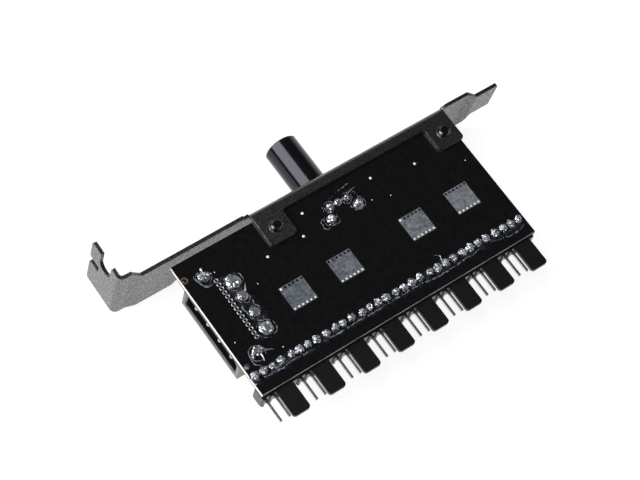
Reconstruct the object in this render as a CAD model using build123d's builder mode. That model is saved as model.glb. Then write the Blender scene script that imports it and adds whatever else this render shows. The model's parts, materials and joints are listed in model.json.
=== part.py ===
from build123d import *
import os
from math import cos, radians, sin, tan

os.makedirs("parts", exist_ok=True)

# A fan hub on an expansion-slot bracket. Millimetres. The origin is the middle of the
# screw notch, on the face of the ear that seats on the case: +X runs along the bracket
# from the ear to the tongue at its other end, +Y leaves the case, and +Z is the solder
# side of the board, so the components hang below it.

# Board
board_length = 86.0
board_width = 40.0
board_thickness = 1.6
board_x = 12.9                  # ear seat to the board's end with the power inlet
board_y = -8.1                  # screw notch to the board's edge at the bracket
solder_z = 0.15                 # screw notch to the solder side

# Folded sheet of the bracket
sheet = 1.0
fold_radius = 0.7               # inside radius of the folds
plate_gap = 1.2                 # board edge to the inner face of the plate
plate_lean = 3.5                # degrees by which the plate leans from square to the board
plate_top = 0.5                 # upper edge of the plate, from the flange's outer face
plate_width = 18.6
bracket_length = 118.1          # ear seat to the end of the tongue
ear_reach = 6.2                 # screw notch to the ear's free edge
ear_top = 4.2                   # screw notch to the ear's upper edge
ear_corner = 0.8
notch_width = 4.5
slit_height = 2.7
slit_depth = 3.9
slit_drop = 5.0                 # screw notch to the middle of the slit
ear_offset = 0.8                # step of the plate next to the ear, outwards
ear_step_x = 2.7                # ear seat to that step
ear_step_length = 2.6
tongue_offset = 1.2             # step of the end tongue, inwards
tongue_length = 7.4             # flat of the tongue beyond its step
tongue_step_length = 2.4
tongue_top = -0.9               # upper edge of the tongue, from the flange's outer face
tongue_width = 10.5
tongue_taper = 3.6              # length over which the plate narrows to the tongue below
tongue_corner = 0.7
lower_cut_start = 16.4          # ear seat to the shallow cut in the plate's lower edge
lower_cut_run = 1.6
lower_cut_depth = 2.2
step_radius = 1.6
flange_start = 24.7             # board end to the flange
flange_length = 62.1
flange_reach = 1.05             # flange over the board between its two tabs
tab_length = 8.1
tab_reach = 8.5
tab_corner = 1.2
relief_width = 1.8              # shallow notch in the plate beside the flange
relief_depth = 0.2              # that notch, from the flange's outer face
fold_cut = 2.6                  # plate cut away behind the fold, from the flange's outer face

# Board screws
screw_diameter = 2.9
screw_clearance = 0.05
screw_setback = 4.5             # board edge to the screws
screw_end = 1.2                 # thread that stands out of the tabs
screw_point = 0.3
screw_head_diameter = 5.5
screw_head_height = 2.0
screw_head_edge = 0.6
screw_recess_depth = 1.2
screw_recess_width = 0.8
screw_recess_length = 3.0

# Fan headers
header_count = 8
header_pitch = 10.75
header_width = 10.5
header_depth = 3.4
header_height = 4.8
header_overhang = 0.5           # housing beyond the fan edge of the board
header_start = -0.1             # board end to the first housing
header_chamfer = 0.4
key_width = 5.1                 # friction key, half a pitch off the middle of the row
key_thickness = 0.95
key_reach = 8.25                # key beyond the fan edge
key_corner = 0.9
key_rib = 0.25                  # detent on the inner face of the key
key_rib_length = 1.6
key_rib_setback = 0.9
pins_per_header = 4
pin_pitch = 2.54
pin_size = 0.64
pin_drop = 2.4                  # component side to the pin's axis
pin_reach = 7.0                 # pin tips beyond the fan edge
pin_row = 5.1                   # fan edge to the row of joints
pin_bend = 0.4                  # bevel on the outside of the bend
pin_point = 0.15
pin_tail = 1.1                  # tail above the solder side
pin_clearance = 0.03

# Power inlet
inlet_width = 24.4
inlet_height = 7.8
inlet_depth = 8.8
inlet_wall = 1.1
inlet_floor = 2.0               # rear wall that holds the pins
inlet_bevel = 0.9               # keying bevels of the mouth
inlet_setback = 0.2             # board end to the mouth
inlet_y = -18.3                 # board edge to the middle of the inlet
power_pin_count = 4
power_pin_pitch = 5.08
power_pin_diameter = 2.1
power_pin_recess = 1.1          # mouth to the pin tips
power_pin_nose = 0.5
power_pin_rear = 0.4            # round pin behind the housing
power_tail_size = 1.3
power_tail_x = 10.7             # board end to the tails
power_tail_bend = 0.6           # bevel on the outside of the bend
power_tail = 1.5
lock_x = 5.6                    # board end to the hold-down blades
lock_length = 1.2
lock_thickness = 0.4
lock_depth = 3.0                # blade inside the housing
lock_tail = 1.0

# Holes left free in the board
spare_count = 15
spare_pitch = 1.27
spare_diameter = 0.75
spare_x = 7.65
spare_shift = 0.6               # middle of the inlet to the middle of the row, towards the bracket
locating_diameter = 1.5
locating_x = 0.95
locating_span = 27.0

# Heat pads on the solder side, one under each power transistor
pad_x = (23.1, 37.75, 60.6, 75.4)
pad_y = -22.3
pad_size = 7.1
pad_thickness = 0.1

# Power transistors
transistor_width = 6.6
transistor_length = 6.1
transistor_height = 2.3
transistor_draft = 7            # degrees on the moulded sides
transistor_tab_width = 5.3
transistor_tab_show = 1.1       # tab that stands out of the moulding
transistor_tab_length = 5.4
lead_thickness = 0.5
lead_width = 0.76
lead_pitch = 4.57
lead_rise = 1.2                 # board to the lead's middle at the moulding
lead_reach = 2.9
lead_shoulder = 0.6
lead_foot = 1.2
lead_grip = 0.9                 # lead inside the moulding
lead_bend = 0.3

# Speed control: a rotary potentiometer
pot_x = 46.75                   # board end to the shaft
shaft_drop = 6.0                # component side to the shaft's axis
pot_width = 10.3
pot_base_front = 4.4            # board edge to the front of the moulded base
pot_base_depth = 5.0
pot_front_plate = 1.4
pot_cover = 0.5                 # sheet of the rear cover
rotor_diameter = 7.4
rotor_thickness = 1.0
rotor_clearance = 0.3
bushing_diameter = 7.4
bushing_end = 0.3               # bushing beyond the outer face of the plate
bushing_room = 0.4              # hole in the plate around the bushing
shaft_diameter = 6.0
running_clearance = 0.05
shaft_flat = 1.5                # depth of the flat on the shaft
shaft_point = 0.3
terminal_count = 3
terminal_pitch = 2.5
terminal_width = 0.8
terminal_thickness = 0.5
terminal_setback = 6.5          # board edge to the terminals
terminal_grip = 1.6             # terminal inside the base
terminal_tail = 1.0
lug_width = 1.6
lug_tail = 0.9

# Knob
knob_diameter = 9.3
knob_length = 14.2
knob_gap = 0.45                 # knob to the plate, where the leaning plate is nearest
knob_edge = 0.35
knob_roof = 2.6                 # solid end of the knob
knob_fit = 0.03

# Solder
tail_clearance = 0.15           # hole around a tail, all round
joint_radius = 0.95
joint_height = 0.95
joint_slope = 25                # degrees from upright, as the two below
power_joint_radius = 1.95
power_joint_height = 1.35
power_joint_slope = 36
lug_joint_radius = 1.5
lug_joint_height = 0.8
lug_joint_slope = 30
small_round_sides = 6           # sides of a round too small to need more

# Planes and places that the pieces share
lean = radians(plate_lean)
plate_normal = (0, cos(lean), sin(lean))
plate_up = (0, -sin(lean), cos(lean))
component_z = solder_z - board_thickness
flange_face_z = solder_z + sheet
fan_edge_y = board_y - board_width
plate_origin = (0, board_y + plate_gap, flange_face_z)
plan = Plane(origin=plate_origin, x_dir=(1, 0, 0), z_dir=plate_up)
elevation = Plane(origin=plate_origin, x_dir=(1, 0, 0), z_dir=(0, -cos(lean), -sin(lean)))
ear_face = Plane(origin=(0, 0, 0), x_dir=plate_normal, z_dir=(1, 0, 0))
notch = plan.to_local_coords(Vector(0, 0, 0))
solder_side = Plane.XY.offset(solder_z)
component_side = Plane.XY.offset(component_z)

flange_x = board_x + flange_start
flange_end_x = flange_x + flange_length
screw_x = (flange_x + tab_length / 2, flange_end_x - tab_length / 2)
screw_points = [(x, board_y - screw_setback) for x in screw_x]

pin_margin = (header_width - (pins_per_header - 1) * pin_pitch) / 2
header_x = [board_x + header_start + i * header_pitch for i in range(header_count)]
pin_x = [[x + pin_margin + k * pin_pitch for k in range(pins_per_header)] for x in header_x]
tail_y = fan_edge_y + pin_row
fan_points = [(x, tail_y) for row in pin_x for x in row]
pin_z = component_z - pin_drop
header_front_y = fan_edge_y - header_overhang
key_end_y = fan_edge_y - key_reach

inlet_middle_y = board_y + inlet_y
inlet_mouth_x = board_x + inlet_setback
inlet_axis_z = component_z - inlet_height / 2
inlet_rear_x = inlet_mouth_x + inlet_depth
power_half_row = (power_pin_count - 1) / 2 * power_pin_pitch
power_points = [
    (board_x + power_tail_x, inlet_middle_y + power_half_row - i * power_pin_pitch)
    for i in range(power_pin_count)
]
lock_offset = (inlet_width - inlet_wall) / 2
lock_points = [(board_x + lock_x, inlet_middle_y + side * lock_offset) for side in (1, -1)]
spare_half_row = (spare_count - 1) / 2 * spare_pitch
spare_points = [
    (board_x + spare_x, inlet_middle_y + spare_shift + spare_half_row - i * spare_pitch)
    for i in range(spare_count)
]
locating_points = [(board_x + locating_x, inlet_middle_y + side * locating_span / 2) for side in (1, -1)]

shaft_x = board_x + pot_x
shaft_z = component_z - shaft_drop
shaft_radius = shaft_diameter / 2
plate_at_shaft_y = board_y + plate_gap + (flange_face_z - shaft_z) * tan(lean)
plate_outside_y = plate_at_shaft_y + sheet / cos(lean)
base_front_y = board_y - pot_base_front
base_rear_y = base_front_y - pot_base_depth
bushing_end_y = plate_outside_y + bushing_end
knob_start_y = plate_outside_y + knob_diameter / 2 * tan(lean) + knob_gap
knob_end_y = knob_start_y + knob_length
bore_end_y = knob_end_y - knob_roof
flat_start_y = knob_start_y - knob_fit
terminal_half_row = (terminal_count - 1) / 2 * terminal_pitch
terminal_points = [
    (shaft_x - terminal_half_row + i * terminal_pitch, board_y - terminal_setback)
    for i in range(terminal_count)
]
lug_offset = (pot_width - lug_width) / 2
lug_points = [(shaft_x + side * lug_offset, base_rear_y - pot_cover / 2) for side in (-1, 1)]
pad_points = [(board_x + x, board_y + pad_y) for x in pad_x]


def upright(y):
    """Sketch plane across the board, with X and Z as its axes; a positive extrude runs towards -Y."""
    return Plane.XZ.offset(-y)


def finish(piece, name):
    piece.part.label = name
    export_step(piece.part, f"parts/{name}.step")


# Bracket: one sheet of steel. The first ribbon gives the ear, the plate and the end tongue
# with their folds and steps, the second gives the flange and tabs that lie on the board.
middle = sheet / 2
ear_edge = notch.Z + ear_top
plate_bottom = plate_top - plate_width
tongue_bottom = tongue_top - tongue_width
tongue_flat_x = bracket_length - tongue_length
tongue_step_x = tongue_flat_x - tongue_step_length
corner_height = -(middle + middle * sin(lean)) / cos(lean)
foot_height = -fold_cut - sheet
lower_cut_end = bracket_length - lower_cut_start


def plate_middle(height):
    """A point of the plate's middle surface, as Y and Z, at a height along the plate."""
    y = plate_origin[1] + middle * cos(lean) - height * sin(lean)
    z = plate_origin[2] + middle * sin(lean) + height * cos(lean)
    return (y, z)


with BuildPart() as bracket:
    with BuildSketch(plan.offset(plate_bottom)):
        with BuildLine():
            FilletPolyline(
                (-middle, notch.Y + ear_reach),
                (-middle, middle + ear_offset),
                (ear_step_x, middle + ear_offset),
                (ear_step_x + ear_step_length, middle),
                (tongue_step_x, middle),
                (tongue_flat_x, middle - tongue_offset),
                (bracket_length, middle - tongue_offset),
                radius=[fold_radius + middle, step_radius, step_radius, step_radius, step_radius],
            )
        trace(line_width=sheet)
    extrude(amount=ear_edge - plate_bottom)
    with BuildSketch(elevation):
        with BuildLine():
            Polyline(
                (ear_step_x, ear_edge + sheet),
                (ear_step_x, ear_edge),
                (ear_step_x + ear_step_length, plate_top),
                (flange_x - relief_width, plate_top),
                (flange_x - relief_width, -relief_depth),
                (flange_x, -relief_depth),
                (flange_x, -fold_cut),
                (flange_end_x, -fold_cut),
                (flange_end_x, -relief_depth),
                (flange_end_x + relief_width, plate_top),
                (tongue_step_x, plate_top),
                (tongue_flat_x, tongue_top),
                (bracket_length + sheet, tongue_top),
                (bracket_length + sheet, ear_edge + sheet),
                close=True,
            )
        make_face()
        with BuildLine():
            Polyline(
                (tongue_step_x, plate_bottom - sheet),
                (tongue_step_x, plate_bottom),
                (tongue_step_x + tongue_taper, tongue_bottom),
                (bracket_length + sheet, tongue_bottom),
                (bracket_length + sheet, plate_bottom - sheet),
                close=True,
            )
        make_face()
        with BuildLine():
            Polyline(
                (lower_cut_start, plate_bottom),
                (lower_cut_start + lower_cut_run, plate_bottom + lower_cut_depth),
                (lower_cut_end - lower_cut_run, plate_bottom + lower_cut_depth),
                (lower_cut_end, plate_bottom),
                close=True,
            )
        make_face()
    extrude(amount=tongue_offset + ear_offset + 2 * sheet, both=True, mode=Mode.SUBTRACT)
    tongue_end = bracket.faces().sort_by(Axis.X)[-1]
    fillet(tongue_end.edges().filter_by(lambda edge: edge.length < 1.5 * sheet), tongue_corner)
    with BuildSketch(ear_face):
        Circle(notch_width / 2)
        Rectangle(notch_width, ear_top + sheet, align=(Align.CENTER, Align.MIN))
        with Locations((ear_reach + sheet, -slit_drop)):
            Rectangle(slit_depth + sheet, slit_height, align=(Align.MAX, Align.CENTER))
    extrude(amount=2 * sheet, both=True, mode=Mode.SUBTRACT)
    free_edges = bracket.faces().sort_by(Axis((0, 0, 0), plate_normal))[-2:].edges()
    fillet(free_edges.filter_by(lambda edge: edge.length < 1.01 * sheet), ear_corner)
    with BuildSketch(Plane.YZ.offset(flange_x)):
        with BuildLine():
            FilletPolyline(
                plate_middle(foot_height),
                plate_middle(corner_height),
                (board_y - tab_reach, solder_z + middle),
                radius=fold_radius + middle,
            )
        trace(line_width=sheet)
    extrude(amount=flange_length)
    with BuildSketch(solder_side) as between_tabs:
        with Locations((flange_x + tab_length, board_y - flange_reach)):
            Rectangle(flange_length - 2 * tab_length, tab_reach, align=(Align.MIN, Align.MAX))
        fillet(between_tabs.vertices().group_by(Axis.Y)[-1], tab_corner)
        with Locations(*screw_points):
            Circle(screw_diameter / 2 + screw_clearance)
    extrude(amount=2 * sheet, mode=Mode.SUBTRACT)
    fillet(bracket.edges().filter_by(Axis.Z).group_by(Axis.Y)[0], tab_corner)
    with BuildSketch(upright(board_y)):
        with Locations((shaft_x, shaft_z)):
            Circle(bushing_diameter / 2 + bushing_room)
    extrude(amount=board_y - knob_end_y, mode=Mode.SUBTRACT)
finish(bracket, "bracket")


# Board: glass-fibre laminate with a hole for every tail
fan_hole = pin_size + 2 * tail_clearance
power_hole = power_tail_size + 2 * tail_clearance
with BuildPart() as board:
    with BuildSketch(solder_side):
        with Locations((board_x, fan_edge_y)):
            Rectangle(board_length, board_width, align=Align.MIN)
        with Locations(*fan_points):
            Rectangle(fan_hole, fan_hole, mode=Mode.SUBTRACT)
        with Locations(*power_points):
            Rectangle(power_hole, power_hole, mode=Mode.SUBTRACT)
        with Locations(*lock_points):
            Rectangle(
                lock_length + 2 * tail_clearance,
                lock_thickness + 2 * tail_clearance,
                mode=Mode.SUBTRACT,
            )
        with Locations(*terminal_points):
            Rectangle(
                terminal_width + 2 * tail_clearance,
                terminal_thickness + 2 * tail_clearance,
                mode=Mode.SUBTRACT,
            )
        with Locations(*lug_points):
            Rectangle(lug_width + 2 * tail_clearance, pot_cover + 2 * tail_clearance, mode=Mode.SUBTRACT)
        with Locations(*screw_points):
            Circle(screw_diameter / 2 + tail_clearance, mode=Mode.SUBTRACT)
        with Locations(*spare_points):
            RegularPolygon(spare_diameter / 2, small_round_sides, major_radius=False, mode=Mode.SUBTRACT)
        with Locations(*locating_points):
            Circle(locating_diameter / 2, mode=Mode.SUBTRACT)
    extrude(amount=-board_thickness)
finish(board, "board")


# Board screws: pan heads on the component side, ends through the tapped tabs
with BuildPart() as board_screws:
    with BuildSketch(component_side):
        with Locations(*screw_points):
            Circle(screw_head_diameter / 2)
    extrude(amount=-screw_head_height)
    chamfer(board_screws.faces().group_by(Axis.Z)[0].edges(), screw_head_edge)
    with BuildSketch(component_side):
        with Locations(*screw_points):
            Circle(screw_diameter / 2)
    extrude(amount=board_thickness + sheet + screw_end)
    chamfer(board_screws.faces().group_by(Axis.Z)[-1].edges(), screw_point)
    with BuildSketch(component_side.offset(-screw_head_height)):
        with Locations(*screw_points):
            Rectangle(screw_recess_length, screw_recess_width)
            Rectangle(screw_recess_width, screw_recess_length)
    extrude(amount=screw_recess_depth, mode=Mode.SUBTRACT)
finish(board_screws, "board_screws")


# Heat pads: tinned copper on the solder side
with BuildPart() as heat_pads:
    with BuildSketch(solder_side):
        with Locations(*pad_points):
            Rectangle(pad_size, pad_size)
    extrude(amount=pad_thickness)
finish(heat_pads, "heat_pads")


# Fan headers: a wall with four bent pins, and a friction key with a detent
pin_half = pin_size / 2
for number, (x, pins) in enumerate(zip(header_x, pin_x), start=1):
    key_x = (pins[0] + pins[-1] + pin_pitch) / 2
    with BuildPart() as header:
        with BuildSketch(Plane.YZ.offset(x)) as wall:
            with Locations((header_front_y, component_z)):
                Rectangle(header_depth, header_height, align=(Align.MIN, Align.MAX))
            chamfer(wall.vertices().group_by(Axis.Y)[0], header_chamfer)
        extrude(amount=header_width)
        with BuildSketch(component_side) as key:
            with Locations((key_x, header_front_y)):
                Rectangle(key_width, header_front_y - key_end_y, align=(Align.CENTER, Align.MAX))
            fillet(key.vertices().group_by(Axis.Y)[0], key_corner)
        extrude(amount=-key_thickness)
        with BuildSketch(Plane.YZ.offset(key_x)):
            with BuildLine():
                rib_y = key_end_y + key_rib_setback
                key_z = component_z - key_thickness
                Polyline(
                    (rib_y, key_z),
                    (rib_y + key_rib_length / 2, key_z - key_rib),
                    (rib_y + key_rib_length, key_z),
                    close=True,
                )
            make_face()
        extrude(amount=key_width / 2 - key_corner, both=True)
        with BuildSketch(upright(header_front_y)):
            with Locations(*[(pin, pin_z) for pin in pins]):
                Rectangle(pin_size + 2 * pin_clearance, pin_size + 2 * pin_clearance)
        extrude(amount=-header_depth, mode=Mode.SUBTRACT)
    finish(header, f"fan_header_{number}")

    with BuildPart() as header_pins:
        for pin in pins:
            with BuildSketch(Plane.YZ.offset(pin)):
                with BuildLine():
                    Polyline(
                        (tail_y - pin_half, solder_z + pin_tail),
                        (tail_y + pin_half, solder_z + pin_tail),
                        (tail_y + pin_half, pin_z - pin_half + pin_bend),
                        (tail_y + pin_half - pin_bend, pin_z - pin_half),
                        (fan_edge_y - pin_reach, pin_z - pin_half),
                        (fan_edge_y - pin_reach, pin_z + pin_half),
                        (tail_y - pin_half, pin_z + pin_half),
                        close=True,
                    )
                make_face()
            extrude(amount=pin_half, both=True)
        chamfer(header_pins.faces().group_by(Axis.Y)[0].edges(), pin_point)
    finish(header_pins, f"fan_pins_{number}")


# Power inlet: shroud with a keyed mouth, four round pins with bent tails, two blades
power_half = power_tail_size / 2
with BuildPart() as inlet_housing:
    with BuildSketch(Plane.YZ.offset(inlet_mouth_x)):
        with Locations((inlet_middle_y, inlet_axis_z)):
            Rectangle(inlet_width, inlet_height)
    extrude(amount=inlet_depth)
    with BuildSketch(Plane.YZ.offset(inlet_mouth_x)) as mouth:
        with Locations((inlet_middle_y, inlet_axis_z)):
            Rectangle(inlet_width - 2 * inlet_wall, inlet_height - 2 * inlet_wall)
        chamfer(mouth.vertices().group_by(Axis.Z)[-1], inlet_bevel)
    extrude(amount=inlet_depth - inlet_floor, mode=Mode.SUBTRACT)
    with BuildSketch(Plane.YZ.offset(inlet_rear_x)):
        with Locations(*[(y, inlet_axis_z) for _, y in power_points]):
            Circle(power_pin_diameter / 2 + pin_clearance)
    extrude(amount=-inlet_floor, mode=Mode.SUBTRACT)
    with BuildSketch(component_side):
        with Locations(*lock_points):
            Rectangle(lock_length + 2 * pin_clearance, lock_thickness + 2 * pin_clearance)
    extrude(amount=-lock_depth - pin_clearance, mode=Mode.SUBTRACT)
finish(inlet_housing, "inlet_housing")

with BuildPart() as inlet_pins:
    with BuildSketch(Plane.YZ.offset(inlet_mouth_x + power_pin_recess)):
        with Locations(*[(y, inlet_axis_z) for _, y in power_points]):
            Circle(power_pin_diameter / 2)
    extrude(amount=inlet_depth - power_pin_recess + power_pin_rear)
    chamfer(inlet_pins.faces().group_by(Axis.X)[0].edges(), power_pin_nose)
    for tail_x, y in power_points:
        with BuildSketch(upright(y)):
            with BuildLine():
                Polyline(
                    (inlet_rear_x, inlet_axis_z + power_half),
                    (tail_x - power_half, inlet_axis_z + power_half),
                    (tail_x - power_half, solder_z + power_tail),
                    (tail_x + power_half, solder_z + power_tail),
                    (tail_x + power_half, inlet_axis_z - power_half + power_tail_bend),
                    (tail_x + power_half - power_tail_bend, inlet_axis_z - power_half),
                    (inlet_rear_x, inlet_axis_z - power_half),
                    close=True,
                )
            make_face()
        extrude(amount=power_half, both=True)
finish(inlet_pins, "inlet_pins")

with BuildPart() as inlet_locks:
    with BuildSketch(component_side.offset(-lock_depth)):
        with Locations(*lock_points):
            Rectangle(lock_length, lock_thickness)
    extrude(amount=lock_depth + board_thickness + lock_tail)
finish(inlet_locks, "inlet_locks")


# Power transistors: a tab and two bent leads, moulded over
tab_end = pad_size / 2 - lead_thickness
body_end = tab_end - transistor_tab_show - transistor_length
for number, (x, y) in enumerate(pad_points, start=1):
    lead_y = y + body_end
    with BuildPart() as lead_frame:
        with BuildSketch(component_side):
            with Locations((x, y + tab_end)):
                Rectangle(transistor_tab_width, transistor_tab_length, align=(Align.CENTER, Align.MAX))
        extrude(amount=-lead_thickness)
        for side in (-1, 1):
            with BuildSketch(Plane.YZ.offset(x + side * lead_pitch / 2)):
                with BuildLine():
                    FilletPolyline(
                        (lead_y + lead_grip, component_z - lead_rise),
                        (lead_y - lead_shoulder, component_z - lead_rise),
                        (lead_y - lead_reach + lead_foot, component_z - lead_thickness / 2),
                        (lead_y - lead_reach, component_z - lead_thickness / 2),
                        radius=lead_bend,
                    )
                trace(line_width=lead_thickness)
            extrude(amount=lead_width / 2, both=True)
    finish(lead_frame, f"transistor_leads_{number}")

    with BuildPart() as moulding:
        with BuildSketch(component_side):
            with Locations((x, lead_y)):
                Rectangle(transistor_width, transistor_length, align=(Align.CENTER, Align.MIN))
        extrude(amount=-transistor_height, taper=transistor_draft)
        add(lead_frame.part, mode=Mode.SUBTRACT)
    finish(moulding, f"transistor_{number}")


# Speed control: base, front plate with its bushing, rear cover with two lugs, terminals,
# and the shaft with its rotor
def control_outline(y):
    """Outline of the control, square at the board and round about the shaft."""
    with BuildSketch(upright(y)) as outline:
        with Locations((shaft_x, component_z)):
            Rectangle(pot_width, shaft_drop, align=(Align.CENTER, Align.MAX))
        with Locations((shaft_x, shaft_z)):
            Circle(pot_width / 2)
    return outline.sketch


rotor_front_y = base_front_y - rotor_clearance
with BuildPart() as pot_base:
    extrude(control_outline(base_front_y), amount=pot_base_depth)
    with BuildSketch(upright(base_front_y)):
        with Locations((shaft_x, shaft_z)):
            Circle(rotor_diameter / 2 + rotor_clearance)
    extrude(amount=rotor_thickness + 2 * rotor_clearance, mode=Mode.SUBTRACT)
    with BuildSketch(component_side):
        with Locations(*terminal_points):
            Rectangle(terminal_width, terminal_thickness)
    extrude(amount=-terminal_grip, mode=Mode.SUBTRACT)
finish(pot_base, "pot_base")

with BuildPart() as pot_bushing:
    extrude(control_outline(base_front_y), amount=-pot_front_plate)
    with BuildSketch(upright(base_front_y + pot_front_plate)):
        with Locations((shaft_x, shaft_z)):
            Circle(bushing_diameter / 2)
    extrude(amount=base_front_y + pot_front_plate - bushing_end_y)
    with BuildSketch(upright(base_front_y)):
        with Locations((shaft_x, shaft_z)):
            Circle(shaft_radius + running_clearance)
    extrude(amount=base_front_y - bushing_end_y, mode=Mode.SUBTRACT)
finish(pot_bushing, "pot_bushing")

with BuildPart() as pot_rear_cover:
    extrude(control_outline(base_rear_y), amount=pot_cover)
    with BuildSketch(component_side):
        with Locations(*lug_points):
            Rectangle(lug_width, pot_cover)
    extrude(amount=board_thickness + lug_tail)
finish(pot_rear_cover, "pot_cover")

with BuildPart() as pot_terminals:
    with BuildSketch(component_side.offset(-terminal_grip)):
        with Locations(*terminal_points):
            Rectangle(terminal_width, terminal_thickness)
    extrude(amount=terminal_grip + board_thickness + terminal_tail)
finish(pot_terminals, "pot_terminals")

with BuildPart() as pot_shaft:
    with BuildSketch(upright(rotor_front_y)):
        with Locations((shaft_x, shaft_z)):
            Circle(rotor_diameter / 2)
    extrude(amount=rotor_thickness)
    with BuildSketch(upright(rotor_front_y)):
        with Locations((shaft_x, shaft_z)):
            Circle(shaft_radius)
    extrude(amount=rotor_front_y - bore_end_y)
    chamfer(pot_shaft.faces().sort_by(Axis.Y)[-1].edges(), shaft_point)
    with BuildSketch(upright(flat_start_y)):
        with Locations((shaft_x, shaft_z + shaft_radius - shaft_flat)):
            Rectangle(shaft_diameter, shaft_diameter, align=(Align.CENTER, Align.MIN))
    extrude(amount=flat_start_y - bore_end_y, mode=Mode.SUBTRACT)
finish(pot_shaft, "pot_shaft")


# Knob: a plain turned cap with a blind bore that has the shaft's flat
with BuildPart() as knob:
    with BuildSketch(upright(knob_start_y)):
        with Locations((shaft_x, shaft_z)):
            Circle(knob_diameter / 2)
    extrude(amount=-knob_length)
    chamfer(knob.faces().sort_by(Axis.Y)[-1].edges(), knob_edge)
    with BuildSketch(upright(knob_start_y)):
        with Locations((shaft_x, shaft_z)):
            Circle(shaft_radius + knob_fit)
        with Locations((shaft_x, shaft_z + shaft_radius - shaft_flat + knob_fit)):
            Rectangle(knob_diameter, knob_diameter, align=(Align.CENTER, Align.MIN), mode=Mode.SUBTRACT)
    extrude(amount=-(knob_length - knob_roof + knob_fit), mode=Mode.SUBTRACT)
finish(knob, "knob")


# Solder: a blunt cone around each tail, with the tail through it
with BuildPart() as fan_solder:
    with BuildSketch(solder_side):
        with Locations(*fan_points):
            RegularPolygon(joint_radius, small_round_sides)
    extrude(amount=joint_height, taper=joint_slope)
    with BuildSketch(solder_side):
        with Locations(*fan_points):
            Rectangle(pin_size, pin_size)
    extrude(amount=joint_height, mode=Mode.SUBTRACT)
finish(fan_solder, "fan_solder")

with BuildPart() as inlet_solder:
    with BuildSketch(solder_side):
        with Locations(*power_points):
            RegularPolygon(power_joint_radius, small_round_sides)
    extrude(amount=power_joint_height, taper=power_joint_slope)
    with BuildSketch(solder_side):
        with Locations(*lock_points):
            RegularPolygon(lug_joint_radius, small_round_sides)
    extrude(amount=lug_joint_height, taper=lug_joint_slope)
    with BuildSketch(solder_side):
        with Locations(*power_points):
            Rectangle(power_tail_size, power_tail_size)
        with Locations(*lock_points):
            Rectangle(lock_length, lock_thickness)
    extrude(amount=power_joint_height, mode=Mode.SUBTRACT)
finish(inlet_solder, "inlet_solder")

with BuildPart() as pot_solder:
    with BuildSketch(solder_side):
        with Locations(*terminal_points):
            RegularPolygon(joint_radius, small_round_sides)
    extrude(amount=joint_height, taper=joint_slope)
    with BuildSketch(solder_side):
        with Locations(*lug_points):
            RegularPolygon(lug_joint_radius, small_round_sides)
    extrude(amount=lug_joint_height, taper=lug_joint_slope)
    with BuildSketch(solder_side):
        with Locations(*terminal_points):
            Rectangle(terminal_width, terminal_thickness)
        with Locations(*lug_points):
            Rectangle(lug_width, pot_cover)
    extrude(amount=joint_height, mode=Mode.SUBTRACT)
finish(pot_solder, "pot_solder")
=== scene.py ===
import json
import math
import random

import bmesh
import bpy
from mathutils import Matrix, Vector

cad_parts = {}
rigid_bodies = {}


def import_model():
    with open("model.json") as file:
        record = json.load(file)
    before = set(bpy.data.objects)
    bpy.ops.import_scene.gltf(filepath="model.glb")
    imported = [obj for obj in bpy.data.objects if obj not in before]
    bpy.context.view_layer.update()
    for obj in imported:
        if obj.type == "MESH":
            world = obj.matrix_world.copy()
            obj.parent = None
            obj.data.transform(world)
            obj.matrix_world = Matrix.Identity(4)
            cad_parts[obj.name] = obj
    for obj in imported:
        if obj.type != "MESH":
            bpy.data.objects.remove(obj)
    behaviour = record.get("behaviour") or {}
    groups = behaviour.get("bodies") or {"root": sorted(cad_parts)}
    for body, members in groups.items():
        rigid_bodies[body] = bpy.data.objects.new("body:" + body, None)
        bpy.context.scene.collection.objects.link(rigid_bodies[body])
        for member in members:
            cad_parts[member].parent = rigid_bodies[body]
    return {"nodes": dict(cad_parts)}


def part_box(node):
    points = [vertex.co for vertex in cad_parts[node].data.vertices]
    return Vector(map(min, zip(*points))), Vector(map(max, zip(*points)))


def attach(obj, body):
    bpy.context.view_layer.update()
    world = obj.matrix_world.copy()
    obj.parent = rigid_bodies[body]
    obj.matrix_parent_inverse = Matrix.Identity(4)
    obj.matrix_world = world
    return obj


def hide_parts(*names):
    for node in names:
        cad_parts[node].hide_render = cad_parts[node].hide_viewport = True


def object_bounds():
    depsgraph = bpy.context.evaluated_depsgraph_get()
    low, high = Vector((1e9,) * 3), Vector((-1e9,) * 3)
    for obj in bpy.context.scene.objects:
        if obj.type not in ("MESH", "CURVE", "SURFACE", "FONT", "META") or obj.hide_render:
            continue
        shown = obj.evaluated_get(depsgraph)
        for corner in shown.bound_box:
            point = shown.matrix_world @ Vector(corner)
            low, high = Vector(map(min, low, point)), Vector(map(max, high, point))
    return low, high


for leftover in list(bpy.data.objects):
    bpy.data.objects.remove(leftover)
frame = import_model()
cad_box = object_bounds()
cad = frame["nodes"]
MM = 0.001


# Board. Glass-fibre laminate 1.6 mm thick with glossy black solder mask on both faces. It was
# scored and snapped out of a larger panel, so its edges show the bare laminate.
BOARD_LOW, BOARD_HIGH = (Vector(corner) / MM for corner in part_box("board"))
BOARD_MIDDLE = (BOARD_LOW + BOARD_HIGH) / 2
BOARD_HALF = (BOARD_HIGH - BOARD_LOW) / 2
SOLDER_SIDE = BOARD_HIGH.z
UNSHADED_TOP_BAND = 0.55
FUMED_ROW_Y, FUMED_INLET = -43.7, (23.2, -26.4)


def linear(colour):
    """A hex sRGB colour as linear RGBA."""
    channels = [int(colour[i:i + 2], 16) / 255 for i in (1, 3, 5)]
    return tuple(c / 12.92 if c <= 0.04045 else ((c + 0.055) / 1.055) ** 2.4 for c in channels) + (1.0,)


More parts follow.
